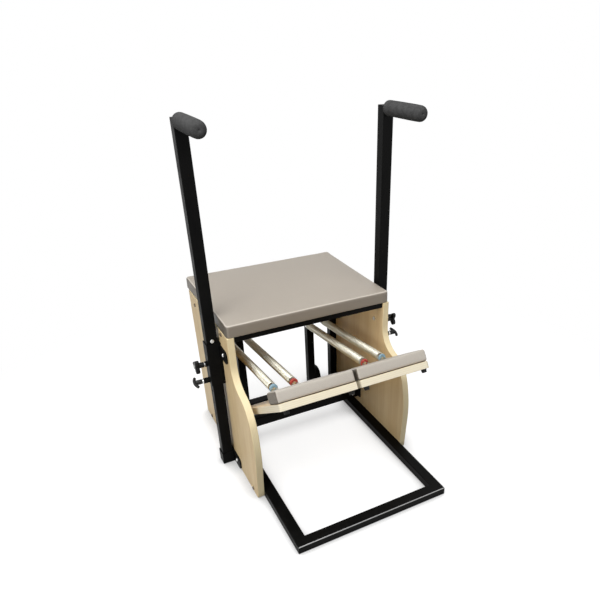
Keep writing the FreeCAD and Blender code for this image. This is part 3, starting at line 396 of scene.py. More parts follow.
# %% Finish: black powder coat
def speckled_finish(name, dark, pale, rough, grain_scale, cloud_scale, bump, edge=None, **values):
    material, tree, principled = new_finish(name, **values)
    place = object_place(tree)
    speckle = place_group(tree, "fine_speckle", {"Grain Scale": grain_scale, "Cloud Scale": cloud_scale})
    tree.links.new(place, speckle.inputs["Vector"])
    colour = mix_colours(tree, speckle.outputs["Cloud"], dark, pale)
    gloss = stretch_range(tree, speckle.outputs["Cloud"], 0.0, 1.0, rough[0], rough[1])
    # the edge colour is partly edge wear and partly a painted highlight on the corners
    if edge:
        edge_patches = place_group(tree, "worn_and_highlit_edges", {"Width": 0.0025})
        tree.links.new(place, edge_patches.inputs["Vector"])
        colour = mix_colours(tree, edge_patches.outputs["Mask"], colour, edge)
    tree.links.new(colour, principled.inputs["Base Color"])
    tree.links.new(gloss, principled.inputs["Roughness"])
    raise_bump(tree, principled, speckle.outputs["Height"], bump[0], bump[1])
    return material


powder_coat = speckled_finish(
    "black_powder_coat", grey(0.0030), (0.0052, 0.0051, 0.0049, 1), rough=(0.38, 0.52), grain_scale=900.0,
    cloud_scale=12.0, bump=(0.10, 0.0002), edge=(0.011, 0.011, 0.0107, 1), Specular_IOR_Level=0.05)
moulded_plastic = speckled_finish(
    "black_moulded_plastic", grey(0.004), grey(0.008), rough=(0.32, 0.44), grain_scale=1600.0,
    cloud_scale=30.0, bump=(0.10, 0.0001), Specular_IOR_Level=0.12)
grip_foam = speckled_finish(
    "grip_foam", grey(0.056), grey(0.078), rough=(0.70, 0.82), grain_scale=1100.0,
    cloud_scale=60.0, bump=(0.22, 0.0004), Specular_IOR_Level=0.01)
bumper_rubber = speckled_finish(
    "bumper_rubber", grey(0.006), grey(0.012), rough=(0.55, 0.7), grain_scale=700.0,
    cloud_scale=50.0, bump=(0.2, 0.0003), Specular_IOR_Level=0.15)
print("finishes", powder_coat.name, moulded_plastic.name, grip_foam.name, bumper_rubber.name)

# %% [markdown]
# Bright metal needs something to reflect, so its own colour stays plain and its roughness carries the
# detail, in faint clouds as fingers leave them. The springs have a warm satin sheen, the bracket bolts are
# zinc plated, and the bolts in the panels are bronzed to go with the wood.

# %% Finish: bright metals
spring_chrome = speckled_finish(
    "spring_chrome", (0.60, 0.58, 0.49, 1), (0.70, 0.685, 0.585, 1), rough=(0.33, 0.43), grain_scale=800.0,
    cloud_scale=22.0, bump=(0.04, 0.0001), Metallic=1.0)
zinc_steel = speckled_finish(
    "zinc_steel", (0.55, 0.55, 0.54, 1), (0.70, 0.70, 0.69, 1), rough=(0.24, 0.40), grain_scale=1200.0,
    cloud_scale=45.0, bump=(0.08, 0.0001), Metallic=1.0)
bronze_steel = speckled_finish(
    "bronzed_steel", (0.10, 0.075, 0.055, 1), (0.17, 0.13, 0.095, 1), rough=(0.34, 0.50), grain_scale=1200.0,
    cloud_scale=45.0, bump=(0.08, 0.0001), Metallic=1.0)
print("finishes", spring_chrome.name, zinc_steel.name, bronze_steel.name)

# %% [markdown]
# Some pieces are one shape but two materials: a spring's coloured cap with its wire stirrup, a knob with its
# steel cap, a finger grip with its collar, a wheel with its hub. One function mixes the two finishes by a
# mask. Splitting the mesh would work too, but a CAD node's mesh stays as it is.

# %% Finish: two materials on one shape
def two_finish(name, plain, metal, mask_of, shine=0.15, plain_rough=(0.3, 0.42), metal_rough=(0.25, 0.4)):
    material, tree, principled = new_finish(name, Specular_IOR_Level=shine)
    place = object_place(tree)
    speckle = place_group(tree, "fine_speckle", {"Grain Scale": 1400.0, "Cloud Scale": 60.0})
    tree.links.new(place, speckle.inputs["Vector"])
    mask = mask_of(tree, place)
    darker = tuple(0.8 * part for part in plain[:3]) + (1,)
    skin = mix_colours(tree, speckle.outputs["Cloud"], darker, plain)
    tree.links.new(mix_colours(tree, mask, skin, metal), principled.inputs["Base Color"])
    soft = stretch_range(tree, speckle.outputs["Cloud"], 0.0, 1.0, *plain_rough)
    hard = stretch_range(tree, speckle.outputs["Cloud"], 0.0, 1.0, *metal_rough)
    gap = maths(tree, "MULTIPLY", maths(tree, "SUBTRACT", hard, soft), mask)
    tree.links.new(maths(tree, "ADD", soft, gap), principled.inputs["Roughness"])
    tree.links.new(mask, principled.inputs["Metallic"])
    raise_bump(tree, principled, speckle.outputs["Height"], 0.08, 0.0001)
    return material


print("two-material finish ready")

# %% [markdown]
# A mask is one where the second material is and zero elsewhere, with a border a fraction of a millimetre
# wide. It is worked out from the Object coordinates, because each border is a plane or a cylinder. Every
# function here keeps its measures and returns the function that builds the nodes.

# %% Masks for two materials
def sideways(tree, place):
    return maths(tree, "ABSOLUTE", measure_along(tree, place, (1, 0, 0)), 0.0)


def outside_cap(offset, way, up, eye, low, high, core, soft=0.0003):
    def mask_of(tree, place):
        along = maths(tree, "SUBTRACT", measure_along(tree, place, way), eye.dot(way))
        above = maths(tree, "SUBTRACT", measure_along(tree, place, up), eye.dot(up))
        across = maths(tree, "SUBTRACT", sideways(tree, place), offset)
        squares = [maths(tree, "MULTIPLY", part, part) for part in (above, across)]
        radius = maths(tree, "SQRT", maths(tree, "ADD", *squares), 0.0)
        before = stretch_range(tree, along, low + soft, low - soft)
        after = stretch_range(tree, along, high - soft, high + soft)
        middle = stretch_range(tree, radius, core + soft, core - soft)
        return maths(tree, "MAXIMUM", middle, maths(tree, "ADD", before, after))
    return mask_of


def across_band(low, high, soft=0.0004):
    def mask_of(tree, place):
        distance = sideways(tree, place)
        above = stretch_range(tree, distance, low - soft, low + soft)
        below = stretch_range(tree, distance, high + soft, high - soft)
        return maths(tree, "MULTIPLY", above, below)
    return mask_of


def beyond(way, distance, soft=0.0002):
    def mask_of(tree, place):
        return stretch_range(tree, measure_along(tree, place, way), distance - soft, distance + soft)
    return mask_of


def near_axle(centre_y, centre_z, low, high):
    def mask_of(tree, place):
        flat = add(tree, "Mapping", {"Location": (0, -centre_y, -centre_z), "Scale": (0, 1, 1)})
        tree.links.new(place, flat.inputs["Vector"])
        return stretch_range(tree, length_of(tree, flat.outputs["Vector"]), high, low)
    return mask_of


print("masks ready")

# %% [markdown]
# The inner springs end in red caps and the outer ones in blue caps, by which their strength is told. Along
# the front rail's rounded upper edge, a thin grey line is a painted highlight, standing for the light that
# the edge catches.

# %% Finishes with two materials
spring_eye = Vector((0, -0.1871137, 0.4321253))
spring_way = Vector((0, 0.99239, -0.12315))
spring_up = Vector((0, 0.12315, 0.99239))
spring_offsets = {"inner": 0.138, "outer": 0.212}
steel_colour = (0.64, 0.63, 0.56, 1)
end_colours = {
    "inner": ("red_spring_end", (0.46, 0.055, 0.04, 1)),
    "outer": ("blue_spring_end", (0.27, 0.43, 0.53, 1))}
end_finish = {}
for place, (name, colour) in end_colours.items():
    wire_part = outside_cap(
        spring_offsets[place], spring_way, spring_up, spring_eye, low=0.0294, high=0.0365, core=0.0052)
    end_finish[place] = two_finish(name, colour, steel_colour, wire_part, shine=0.4)
knob_finish = two_finish(
    "knob_with_hub", grey(0.006), (0.35, 0.35, 0.34, 1), across_band(low=0.4119, high=0.42))
pull_finish = two_finish(
    "pull_grip_with_collar", grey(0.010), (0.62, 0.62, 0.60, 1), across_band(low=0.388, high=0.3935),
    shine=0.3)
rail_low, rail_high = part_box("base_front_rail")
rail_corner = 0.0025
highlight_line_width = 0.0006
edge_way = Vector((0, -1, 1)).normalized()
edge_reach = (rail_high.z - rail_low.y - 2 * rail_corner) / math.sqrt(2) + rail_corner
# painted highlight: a thin grey line along the rail's rounded upper edge
front_rail_finish = two_finish(
    "front_rail_with_painted_highlight", (0.0052, 0.0051, 0.0049, 1), grey(0.30),
    beyond(edge_way, edge_reach - highlight_line_width), shine=0.05, plain_rough=(0.38, 0.52))
wheel_finish = two_finish(
    "wheel_with_hub", grey(0.008), grey(0.05), near_axle(0.441, 0.045, low=0.0285, high=0.0295),
    plain_rough=(0.5, 0.65))
print("finishes", sorted(f.name for f in end_finish.values()), knob_finish.name, pull_finish.name)
print("finishes", front_rail_finish.name, wheel_finish.name)

# %% [markdown]
# New pieces all end the same way: the bmesh becomes a mesh, and the mesh gets its finish and smooth shading
# with crisp edges kept. A piece given a body rides on that body of the frame. Soft pieces also get a
# Subdivision Surface modifier, and round ones share a helper that spins a profile of heights and radii once
# round the Z axis.

# %% Piece helpers
def mesh_from(name, bm):
    mesh = bpy.data.meshes.new(name)
    bm.to_mesh(mesh)
    bm.free()
    return mesh


def finish_piece(name, bm, finish, body=None, crisp=35.0):
    mesh = mesh_from(name, bm)
    mesh.materials.append(finish)
    mesh.shade_smooth()
    mesh.set_sharp_from_angle(angle=math.radians(crisp))
    piece = new_object(name, mesh)
    if body:
        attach(piece, body)
    return piece


def soften(piece):
    softener = piece.modifiers.new("softener", "SUBSURF")
    softener.levels = 1
    softener.render_levels = 1


def final_mesh(piece):
    return bpy.data.meshes.new_from_object(piece.evaluated_get(bpy.context.evaluated_depsgraph_get()))


def round_edges(bm, edges, radius, segments):
    bmesh.ops.bevel(
        bm, geom=edges, offset=radius, segments=segments, profile=0.5, affect="EDGES", material=-1)


def spin_profile(bm, profile, steps):
    rims = [bm.verts.new((radius, 0, out)) for out, radius in profile]
    lines = [bm.edges.new(pair) for pair in zip(rims, rims[1:])]
    bmesh.ops.spin(bm, geom=rims + lines, cent=(0, 0, 0), axis=(0, 0, 1), dvec=(0, 0, 0),
                   angle=2 * math.pi, steps=steps, use_merge=True, use_duplicate=False)
    bmesh.ops.remove_doubles(bm, verts=bm.verts, dist=1e-6)
    bmesh.ops.recalc_face_normals(bm, faces=bm.faces)


print("piece helpers ready")

# %% [markdown]
# A pad is foam on a board under tight vinyl. Its blank is a cube scaled to size, with its upright corners
# and its rims bevelled. Planes then cut it into small even cells, so that it can swell. A voxel remesh
# would make even cells too, but it wears the crisp rims down.

# %% Pad blank
def pad_blank(size, corner, top_round, bottom_round, cell):
    bm = bmesh.new()
    bmesh.ops.create_cube(bm, size=1.0)
    bmesh.ops.scale(bm, vec=size, verts=bm.verts)
    bmesh.ops.translate(bm, vec=(0, 0, size[2] / 2), verts=bm.verts)
    upright = [e for e in bm.edges if abs(e.verts[0].co.z - e.verts[1].co.z) > size[2] / 2]
    round_edges(bm, upright, corner, 6)
    for level, radius in ((size[2], top_round), (0.0, bottom_round)):
        rim = [e for e in bm.edges if all(abs(v.co.z - level) < 1e-6 for v in e.verts)]
        round_edges(bm, rim, radius, 4)
    reach_x, reach_y = size[0] / 2 - corner, size[1] / 2 - corner
    runs = ((-reach_x, reach_x), (-reach_y, reach_y), (bottom_round, size[2] - top_round))
    for axis, (low, high) in enumerate(runs):
        count = max(2, round((high - low) / cell))
        for step in range(count + 1):
            place = Vector((0, 0, 0))
            place[axis] = low + (high - low) * step / count
            bmesh.ops.bisect_plane(
                bm, geom=bm.verts[:] + bm.edges[:] + bm.faces[:], dist=1e-5, plane_co=place,
                plane_no=[float(axis == other) for other in range(3)])
    return bm


def draw_sides_in(mesh, width, depth, draw_in):
    for vertex in mesh.vertices:
        x, y, z = vertex.co
        vertex.co.x = x * (1 - 2 * draw_in / width * (1 - (2 * y / depth) ** 2))
        vertex.co.y = y * (1 - 2 * draw_in / depth * (1 - (2 * x / width) ** 2))


print("pad blank ready")

# %% [markdown]
# Foam pushes outwards until the vinyl holds it. Blender's cloth with inside pressure does that: the underside
# is pinned to the board, and 20 steps swell the blank. The pads of this chair are firm, so only a share of
# the swelling is kept, with the given height at most. A sculpted crown would miss the soft rise near the
# edges.

# %% Pad stuffing
settle_steps = 20


def stuff_pad(piece, pinned_below, swell):
    skin = piece.data
    rest = [vertex.co.copy() for vertex in skin.vertices]
    pins = piece.vertex_groups.new(name="pins")
    pins.add([i for i, co in enumerate(rest) if co.z < pinned_below], 1.0, "REPLACE")
    cloth = piece.modifiers.new("stuffing", "CLOTH")
    cloth.settings.use_pressure = True
    cloth.settings.uniform_pressure_force = 4.0
    cloth.settings.tension_stiffness = 25
    cloth.settings.compression_stiffness = 25
    cloth.settings.bending_stiffness = 1.0
    cloth.settings.vertex_group_mass = "pins"
    cloth.settings.effector_weights.gravity = 0
    cloth.collision_settings.use_collision = False
    for step in range(1, settle_steps + 1):
        scene.frame_set(step)
    swollen = final_mesh(piece)
    moves = [after.co - before for after, before in zip(swollen.vertices, rest)]
    furthest = max(move.length for move in moves)
    for vertex, before, move in zip(skin.vertices, rest, moves):
        vertex.co = before + move * (swell / furthest)
    piece.modifiers.remove(cloth)
    piece.vertex_groups.remove(pins)
    scene.frame_set(1)
    print(piece.name, "swelled by", round(furthest * 1000, 1), "mm, kept", swell * 1000)
    soften(piece)


print("pad stuffing ready")

# %% [markdown]
# The seat is one wide cushion, 630 by 512 by 49 mm, with crisp corners and a tight top rim. The vinyl wraps
# the board too, so its underside stays flat, half a millimetre above the rails.

# %% Seat cushion
seat_low, seat_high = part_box("seat_pad")
seat_size = seat_high - seat_low
seat_middle = (seat_low + seat_high) / 2
seat_swell = 0.004
seat_trim = 0.001
rail_gap = 0.0005
seat_skin = pad_blank(
    (seat_size.x - seat_trim, seat_size.y - seat_trim, seat_size.z - seat_swell),
    corner=0.014, top_round=0.008, bottom_round=0.004, cell=0.012)
seat_cushion = finish_piece("seat_cushion", seat_skin, seat_vinyl)
stuff_pad(seat_cushion, pinned_below=0.006, swell=seat_swell)
draw_sides_in(seat_cushion.data, seat_size.x, seat_size.y, draw_in=0.002)
seat_cushion.data.transform(Matrix.Translation((seat_middle.x, seat_middle.y, seat_low.z + rail_gap)))
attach(seat_cushion, "frame")
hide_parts("seat_pad")
print("seat cushion", len(seat_cushion.data.polygons), "faces")

# %% [markdown]
# Each pedal carries a small pad across its front, wrapped like the seat. It is made lying flat and then
# tipped to the pedal's slope with one matrix, because a cloth run is easier to pin when the board is level.

# %% Pedal pads
pad_size = (0.2660, 0.1000, 0.0410)
pad_across = 0.1381
pad_along = 0.5905
pad_lift = 0.0348
pad_centre = pedal_hinge + pedal_forward * pad_along + pedal_normal * pad_lift
for side, sign in SIDES.items():
    pad_skin = pad_blank(pad_size, corner=0.008, top_round=0.007, bottom_round=0.008, cell=0.009)
    foot_pad = finish_piece(side + "_foot_pad", pad_skin, pad_vinyl)
    stuff_pad(foot_pad, pinned_below=0.005, swell=0.0025)
    draw_sides_in(foot_pad.data, pad_size[0], pad_size[1], draw_in=0.001)
    foot_pad.data.transform(Matrix((
        (1, 0, 0, sign * pad_across),
        (0, -pedal_forward.y, pedal_normal.y, pad_centre.y),
        (0, -pedal_forward.z, pedal_normal.z, pad_centre.z),
        (0, 0, 0, 1))))
    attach(foot_pad, side + "_pedal")
    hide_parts(side + "_pedal_pad")
    print(foot_pad.name, len(foot_pad.data.polygons), "faces")

# %% [markdown]
# The extension springs are wound tight from about 3 mm wire, turn against turn. A spin of one small circle
# that also moves along the axis makes one turn, and an Array modifier repeats it. Spinning all the turns
# at once gives the same mesh, but takes minutes.

# %% One wound coil
wire = 0.0031
coil_radius = 0.015
coil_start = 0.048
coil_end = 0.51345
closest_pitch = 0.00322
coil_length = coil_end - coil_start - wire
turns = int(coil_length / closest_pitch)
pitch = coil_length / turns
steps_per_turn = 24
bm = bmesh.new()
section = bmesh.ops.create_circle(bm, cap_ends=False, segments=8, radius=wire / 2)
bmesh.ops.translate(bm, vec=(coil_radius - wire / 2, wire / 2, 0), verts=section["verts"])
bmesh.ops.spin(
    bm, geom=bm.verts[:] + bm.edges[:], cent=(0, 0, 0), axis=(0, 1, 0), dvec=(0, pitch / steps_per_turn, 0),
    angle=2 * math.pi, steps=steps_per_turn, use_merge=False, use_duplicate=False)
one_turn = finish_piece("one_turn", bm, spring_chrome)
row = one_turn.modifiers.new("turns", "ARRAY")
row.count = turns
row.use_relative_offset = False
row.use_constant_offset = True
row.constant_offset_displace = (0, pitch, 0)
row.use_merge_vertices = True
row.merge_threshold = 0.00002
coil_mesh = final_mesh(one_turn)
bpy.data.objects.remove(one_turn)
print("coil of", turns, "turns,", len(coil_mesh.polygons), "faces")

# %% [markdown]
# Each spring gets a coil in place of its CAD stand-in. All four use the same wound mesh, laid along their
# own axis.

# %% Springs
for side, sign in SIDES.items():
    for place, offset in spring_offsets.items():
        root = spring_eye + Vector((sign * offset, 0, 0)) + spring_way * coil_start
        lay = Matrix((
            (1, 0, 0, root.x), (0, spring_way.y, spring_up.y, root.y),
            (0, spring_way.z, spring_up.z, root.z), (0, 0, 0, 1)))
        bm = bmesh.new()
        bm.from_mesh(coil_mesh)
        bmesh.ops.holes_fill(bm, edges=[e for e in bm.edges if e.is_boundary], sides=8)
        bmesh.ops.recalc_face_normals(bm, faces=bm.faces)
        bmesh.ops.transform(bm, matrix=lay, verts=bm.verts)
        coil = finish_piece("%s_%s_coil" % (side, place), bm, spring_chrome, crisp=70.0)
        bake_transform(coil)
        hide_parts("%s_%s_spring" % (side, place))
        print(coil.name, len(coil.data.polygons), "faces")

# %% [markdown]
# The grips are thick foam sleeves, a closed dome at the front. A profile spun round the arm's axis gives the
# sleeve: it starts at the bottom of the bore for the arm, comes out at the soft lip near the upright, and
# ends in a shallow vent in the dome.

# %% Foam grips
grip_x = 0.343
grip_z = 1.232
grip_profile = (
    (-0.1240, 0.0), (-0.1240, 0.0142), (-0.1230, 0.0142), (0.0610, 0.0142), (0.0623, 0.0142),
    (0.0623, 0.0222), (0.0612, 0.0238), (0.0585, 0.0243), (-0.030, 0.0246), (-0.1160, 0.0243),
    (-0.1235, 0.0230), (-0.1295, 0.0193), (-0.1328, 0.0140), (-0.1335, 0.0095), (-0.1335, 0.0035),
    (-0.1320, 0.0025), (-0.1315, 0.0))
for side, sign in SIDES.items():
    bm = bmesh.new()
    spin_profile(bm, grip_profile, 48)
    lay = Matrix.Translation((sign * grip_x, 0, grip_z)) @ Matrix.Rotation(-math.pi / 2, 4, "X")
    bmesh.ops.transform(bm, matrix=lay, verts=bm.verts)
    grip = finish_piece(side + "_foam_grip", bm, grip_foam, side + "_handle", crisp=60.0)
    soften(grip)
    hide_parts(side + "_grip")
    print(grip.name, len(grip.data.polygons), "faces")

# %% [markdown]
# Each pull pin ends in a moulded finger grip: a bar bowed over the fingertips on a short ribbed stem with a
# steel collar. The bar is a small circle spun through part of a turn, and its ends are capped and rounded
# with a bevel. The stem is a profile spun right round. Both are made upright and turned to lie along the
# pin.

# %% Pull grips
bow_radius = 0.050
bow_half = math.radians(32.7)
bar_out = 0.4205
bar_lean = math.radians(100)
rib_start = 0.3950
rib_pitch = 0.0054
rib_shape = ((0.0, 0.0082), (0.0016, 0.0082), (0.0021, 0.0094), (0.0049, 0.0090))
stem_profile = [(0.3890, 0.0), (0.3890, 0.0085), (0.3945, 0.0085)]
for rib in range(4):
    stem_profile += [(rib_start + rib * rib_pitch + out, radius) for out, radius in rib_shape]
stem_profile += [(0.4175, 0.0060), (0.4175, 0.0)]
bar_way = Vector((0, -math.sin(bar_lean), math.cos(bar_lean)))
pin_low, pin_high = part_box("left_pull_plunger")
pin_centre = (pin_low + pin_high) / 2
for side, sign in SIDES.items():
    bm = bmesh.new()
    bmesh.ops.create_circle(bm, cap_ends=False, segments=12, radius=0.0055)
    bmesh.ops.rotate(bm, cent=(0, 0, 0), matrix=Matrix.Rotation(math.pi / 2, 3, "Y"), verts=bm.verts)
    bmesh.ops.translate(bm, vec=(0, 0, bow_radius), verts=bm.verts)
    bmesh.ops.rotate(bm, cent=(0, 0, 0), matrix=Matrix.Rotation(-bow_half, 3, "Y"), verts=bm.verts)
    bmesh.ops.spin(bm, geom=bm.verts[:] + bm.edges[:], cent=(0, 0, 0), axis=(0, 1, 0), dvec=(0, 0, 0),
                   angle=2 * bow_half, steps=12, use_merge=False, use_duplicate=False)
    bmesh.ops.translate(bm, vec=(0, 0, bar_out - bow_radius), verts=bm.verts)
    tips = [e for e in bm.edges if e.is_boundary]
    bmesh.ops.holes_fill(bm, edges=tips, sides=12)
    round_edges(bm, tips, 0.0035, 3)
    spin_profile(bm, stem_profile, 24)
    out_way = Vector((sign, 0, 0))
    turn = Matrix((bar_way, out_way.cross(bar_way), out_way)).transposed().to_4x4()
    lay = Matrix.Translation((0, pin_centre.y, pin_centre.z)) @ turn
    bmesh.ops.transform(bm, matrix=lay, verts=bm.verts)
    pull_grip = finish_piece(
        side + "_pull_grip", bm, pull_finish, side + "_pull_pin", crisp=40.0)
    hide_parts(side + "_pull_handle")
    print(pull_grip.name, len(pull_grip.data.polygons), "faces")

# %% [markdown]
# The clamp knobs are three-armed stars on a short hub, with a steel cap in the middle. A circle whose radius
# swings three times on its way round gives the star, which is extruded and gets soft rims. Hub and cap are
# one spun profile through it.

# %% Clamp knobs
upright_y = 0.082
knob_z = 0.445
star_inner = 0.3970
star_depth = 0.0142
star_middle = 0.0195
star_swing = 0.0085
hub_profile = (
    (0.3785, 0.0), (0.3785, 0.0085), (0.3793, 0.0095), (0.3980, 0.0100), (0.4100, 0.0072), (0.4133, 0.0072),
    (0.4142, 0.0062), (0.4142, 0.0))
for side, sign in SIDES.items():
    bm = bmesh.new()
    bmesh.ops.create_circle(bm, cap_ends=True, segments=60, radius=1.0)
    for vertex in bm.verts:
        turn = math.atan2(vertex.co.y, vertex.co.x) - math.pi / 2
        vertex.co *= star_middle + star_swing * math.cos(3 * turn)
    top = bmesh.ops.extrude_face_region(bm, geom=bm.faces[:])["geom"]
    lifted = [g for g in top if isinstance(g, bmesh.types.BMVert)]
    bmesh.ops.translate(bm, vec=(0, 0, star_depth), verts=lifted)
    rims = [e for e in bm.edges if abs(e.verts[0].co.z - e.verts[1].co.z) < 1e-6]
    round_edges(bm, rims, 0.0030, 3)
    bmesh.ops.translate(bm, vec=(0, 0, star_inner), verts=bm.verts)
    spin_profile(bm, hub_profile, 24)
    lay = Matrix.Translation((0, upright_y, knob_z)) @ Matrix.Rotation(sign * math.pi / 2, 4, "Y")
    bmesh.ops.transform(bm, matrix=lay, verts=bm.verts)
    star_knob = finish_piece(
        side + "_star_knob", bm, knob_finish, side + "_knob", crisp=40.0)
    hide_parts(side + "_clamp_knob")
    print(star_knob.name, len(star_knob.data.polygons), "faces")

# %% [markdown]
# The panels are held by button-head bolts with a hexagon socket. One head is spun from its profile, its top
# is bridged to a hexagon whose sides are cut into the same number of edges, and the hexagon is pushed down
# for the socket. The rest are copies of that mesh, turned to face outwards.

# %% Button-head bolt pattern
def button_head(radius, height, socket):
    bm = bmesh.new()
    steps = ((0.0, 1.0), (0.30, 1.0), (0.62, 0.93), (0.88, 0.78), (1.0, 0.58))
    spin_profile(bm, [(height * up, radius * out) for up, out in steps], 24)
    brim = [e for e in bm.edges if e.is_boundary and e.verts[0].co.z > height * 0.9]
    hexagon = bmesh.ops.create_circle(bm, cap_ends=False, segments=6, radius=socket)
    bmesh.ops.translate(bm, vec=(0, 0, height), verts=hexagon["verts"])
    sides = list({e for v in hexagon["verts"] for e in v.link_edges})
    bmesh.ops.subdivide_edges(bm, edges=sides, cuts=3)
    ring = [e for e in bm.edges if e.is_wire]
    bmesh.ops.bridge_loops(bm, edges=brim + ring)
    mouth = [e for e in bm.edges if e.is_boundary and e.verts[0].co.z > 0]
    well = bmesh.ops.extrude_edge_only(bm, edges=mouth)
    bottom = [g for g in well["geom"] if isinstance(g, bmesh.types.BMVert)]
    bmesh.ops.translate(bm, vec=(0, 0, -height * 0.55), verts=bottom)
    bmesh.ops.holes_fill(bm, edges=[e for e in bm.edges if e.is_boundary], sides=24)
    bmesh.ops.recalc_face_normals(bm, faces=bm.faces)
    return mesh_from("button_head", bm)


def copy_shape(bm, mesh, place, way, tone=0):
    old_verts, old_faces = len(bm.verts), len(bm.faces)
    bm.from_mesh(mesh)
    turn = Vector((0, 0, 1)).rotation_difference(Vector(way)).to_matrix().to_4x4()
    bmesh.ops.transform(bm, matrix=Matrix.Translation(place) @ turn, verts=bm.verts[:][old_verts:])
    for face in bm.faces[:][old_faces:]:
        face.material_index = tone


bolt_head = button_head(radius=0.007, height=0.004, socket=0.0030)
print("bolt head", len(bolt_head.polygons), "faces")

# %% [markdown]
# A hexagon nut is a six-sided ring with softened corners. It sits on the inside of each panel behind the
# upper bracket's bolts, with the end of the bolt in its middle.

# %% Nut pattern
def hex_nut(radius, height):
    bm = bmesh.new()
    bmesh.ops.create_cone(bm, cap_ends=True, segments=6, radius1=radius, radius2=radius, depth=height)
    bmesh.ops.translate(bm, vec=(0, 0, height / 2), verts=bm.verts)
    round_edges(bm, bm.edges[:], height * 0.12, 2)
    top = max(bm.faces, key=lambda f: f.calc_center_median().z)
    bmesh.ops.inset_region(bm, faces=[top], thickness=radius * 0.28, depth=-height * 0.2)
    bmesh.ops.recalc_face_normals(bm, faces=bm.faces)
    return mesh_from("hex_nut", bm)


nut = hex_nut(radius=0.0075, height=0.006)
print("nut", len(nut.polygons), "faces")

# %% [markdown]
# Bolts go where the real chair is fastened: four through the wood of each panel, two through the ears of each
# bracket, and three at each end of the hinge bar. One mesh holds them all, and a second material slot gives
# the heads on the wood their bronze.

# %% Panel bolts
panel_face = 0.315
ear_face = 0.320
inner_face = 0.290
plate_face = 0.284
ear_reach = 0.0505
upper_ear_z = 0.492
lower_ear_z = 0.025
plate_bolt_z = 0.114
toe_bolt_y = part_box("right_side_panel")[0].y + 0.060
bm = bmesh.new()
for sign in SIDES.values():
    outwards = (sign, 0, 0)
    inwards = (-sign, 0, 0)
    for y, z in ((0.039, 0.567), (0.378, 0.541), (0.378, 0.015), (toe_bolt_y, 0.015)):
        copy_shape(bm, bolt_head, (sign * panel_face, y, z), outwards, tone=1)
    for y in (upright_y - ear_reach, upright_y + ear_reach):
        copy_shape(bm, bolt_head, (sign * ear_face, y, upper_ear_z), outwards)
        copy_shape(bm, bolt_head, (sign * ear_face, y, lower_ear_z), outwards)
        copy_shape(bm, nut, (sign * inner_face, y, upper_ear_z), inwards)
    for y in (0.142, 0.188):
        copy_shape(bm, bolt_head, (sign * plate_face, y, plate_bolt_z), inwards)
    copy_shape(bm, bolt_head, (sign * 0.257, 0.145, 0.082), (0, -1, 0))
panel_fasteners = finish_piece("panel_fasteners", bm, zinc_steel, "frame")
panel_fasteners.data.materials.append(bronze_steel)
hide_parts("panel_bolts")
print("panel fasteners", len(panel_fasteners.data.polygons), "faces")

# %% [markdown]
# The hinge knuckles are bolted up through the pedal boards. On top of each board only a row of small domed
# heads shows, near the hinge.

# %% Pedal board bolts
dome = button_head(radius=0.0062, height=0.0028, socket=0.0024)
bolt_row = pedal_hinge + pedal_normal * board_top + pedal_forward * 0.003
for side, sign in SIDES.items():
    bm = bmesh.new()
    for knuckle in (0.095, 0.228):
        for spread in (-0.009, 0.009):
            copy_shape(bm, dome, bolt_row + Vector((sign * (knuckle + spread), 0, 0)), pedal_normal)
    heads = finish_piece(side + "_knuckle_bolts", bm, zinc_steel, side + "_pedal")
    print(heads.name, len(heads.data.polygons), "faces")

# %% [markdown]
# Rigid CAD solids keep their shape. Each one gets the finish of its real material in its own slots.

# %% Finishes on the CAD solids
SHARED = (
    (board_plywood, ("seat_board",)),
    (panel_plywood, ("left_side_panel", "right_side_panel")),
    (front_rail_finish, ("base_front_rail",)),
    (moulded_plastic, ("rail_end_caps",)),
    (zinc_steel, ("hinge_shaft", "spring_pegs", "wheel_axles")),
    (powder_coat, ("seat_front_rail", "seat_rear_rail", "seat_side_rails", "base_left_rail",
                   "base_right_rail", "base_rear_rail", "hinge_bar", "hinge_lugs", "spring_posts",
                   "wheel_forks")),
)
PER_SIDE = (
    (powder_coat, ("upper_bracket", "lower_bracket", "upright", "hinge_knuckles")),
    (zinc_steel, ("stop_bolt", "clamp_stud", "pull_plunger", "spring_eyebolts", "spring_tails")),
    (pedal_plywood, ("pedal_board",)),
    (bumper_rubber, ("pedal_bumpers",)),
    (end_finish["inner"], ("inner_spring_end",)),
    (end_finish["outer"], ("outer_spring_end",)),
    (wheel_finish, ("wheel",)),
)
finishes = {name: finish for finish, names in SHARED for name in names}
for side in SIDES:
    finishes.update({side + "_" + name: finish for finish, names in PER_SIDE for name in names})
for name, finish in finishes.items():
    for slot in nodes[name].material_slots:
        slot.material = finish
print("finished nodes", len(finishes), "not shown", sorted(set(nodes) - set(finishes)))

# %% [markdown]
# The photo is a catalogue shot on white. The floor is a wide disc that reads white to the camera and to
# shiny surfaces, but keeps the object's shadow: close to the chair it shows its lit colour, and further out
# it fades to plain white like the world behind it. An Ambient Occlusion node deepens the shade where the
# rails stand on it.

# %% White floor
def seen_rays(tree):
    rays = add(tree, "LightPath")
    seen = maths(tree, "ADD", rays.outputs["Is Camera Ray"], rays.outputs["Is Glossy Ray"], clamp=True)
    return maths(tree, "ADD", seen, rays.outputs["Is Transmission Ray"], clamp=True)


def join_shaders(tree, kind, *values):
    node = add(tree, kind)
    for value, socket in zip(values, node.inputs):
        tree.links.new(value, socket)
    return node.outputs[0]


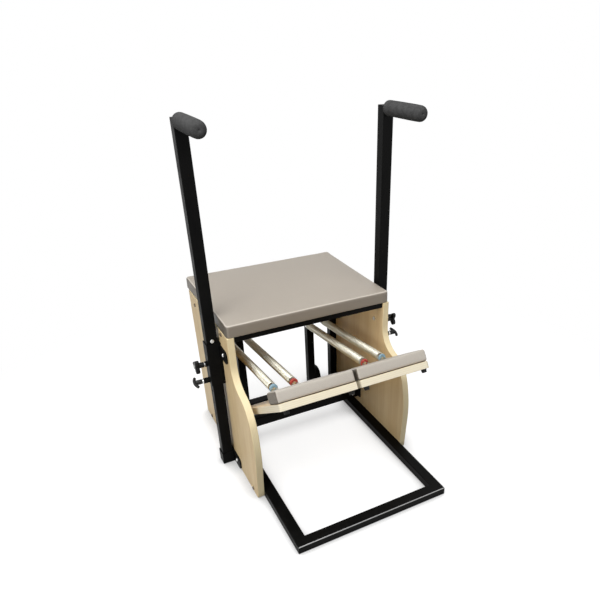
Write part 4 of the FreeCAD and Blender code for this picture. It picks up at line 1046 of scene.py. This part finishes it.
bm = bmesh.new()
bmesh.ops.create_circle(bm, cap_ends=True, segments=96, radius=9.0)
floor = new_object("studio_floor", mesh_from("studio_floor", bm))
floor_white, tree, principled = new_finish(
    "floor_white", Base_Color=grey(0.35), Roughness=0.9, Specular_IOR_Level=0.1)
contact = add(tree, "AmbientOcclusion", {"Distance": 0.09}, samples=8)
lift = add(tree, "Emission", {"Color": grey(1)})
tree.links.new(stretch_range(tree, contact.outputs["AO"], 0.35, 1.0, 0.30, 0.90), lift.inputs["Strength"])
near = join_shaders(tree, "AddShader", principled.outputs[0], lift.outputs[0])
white = add(tree, "Emission", {"Color": grey(1), "Strength": 1.0})
far = stretch_range(tree, length_of(tree, object_place(tree)), 0.75, 1.7)
spread = join_shaders(tree, "MixShader", far, near, white.outputs[0])
dull = add(tree, "BsdfDiffuse", {"Color": grey(0.15)})
chosen = join_shaders(tree, "MixShader", seen_rays(tree), dull.outputs[0], spread)
tree.links.new(chosen, tree.nodes["Material Output"].inputs["Surface"])
floor.data.materials.append(floor_white)
print("floor ready")

# %% [markdown]
# The world is white where the camera or a shiny surface sees it, and a dim fill light for everything else. A
# bright world would wash out the shadows between the pedals and the panels.

# %% World
world = bpy.data.worlds.new("studio_world")
scene.world = world
world.use_nodes = True
tree = world.node_tree
dim = tree.nodes["Background"]
dim.inputs["Color"].default_value = grey(1)
dim.inputs["Strength"].default_value = 0.10
bright = add(tree, "Background", {"Color": grey(1), "Strength": 1.0})
chosen = join_shaders(tree, "MixShader", seen_rays(tree), dim.outputs[0], bright.outputs[0])
tree.links.new(chosen, tree.nodes["World Output"].inputs["Surface"])
print("world ready")

# %% [markdown]
# Four soft lamps: a large one above the pedals for the bright tops, one higher up on the left and a low one
# in front of it for the plywood, and a weak one from the right that opens the shadows. Their powers were
# fitted together, from how much each alone gives to the seat, the pads and the panels.

# %% Lamps
def soft_lamp(name, place, aim, size, power):
    lamp = bpy.data.lights.new(name, "AREA")
    lamp.shape = "DISK"
    lamp.size = size
    lamp.energy = power
    holder = new_object(name, lamp)
    holder.location = place
    holder.rotation_euler = (Vector(aim) - Vector(place)).to_track_quat("-Z", "Y").to_euler()


soft_lamp("overhead_softbox", (-0.4, -0.75, 3.0), (0, 0, 0.4), size=2.4, power=58)
soft_lamp("high_left_softbox", (-1.4, -0.3, 2.7), (0, 0, 0.4), size=2.0, power=20)
soft_lamp("low_left_softbox", (-2.8, -1.5, 1.0), (0, 0, 0.4), size=2.0, power=33)
soft_lamp("right_fill", (2.2, -2.0, 1.4), (0, 0, 0.5), size=1.6, power=13)
print("lamps ready")
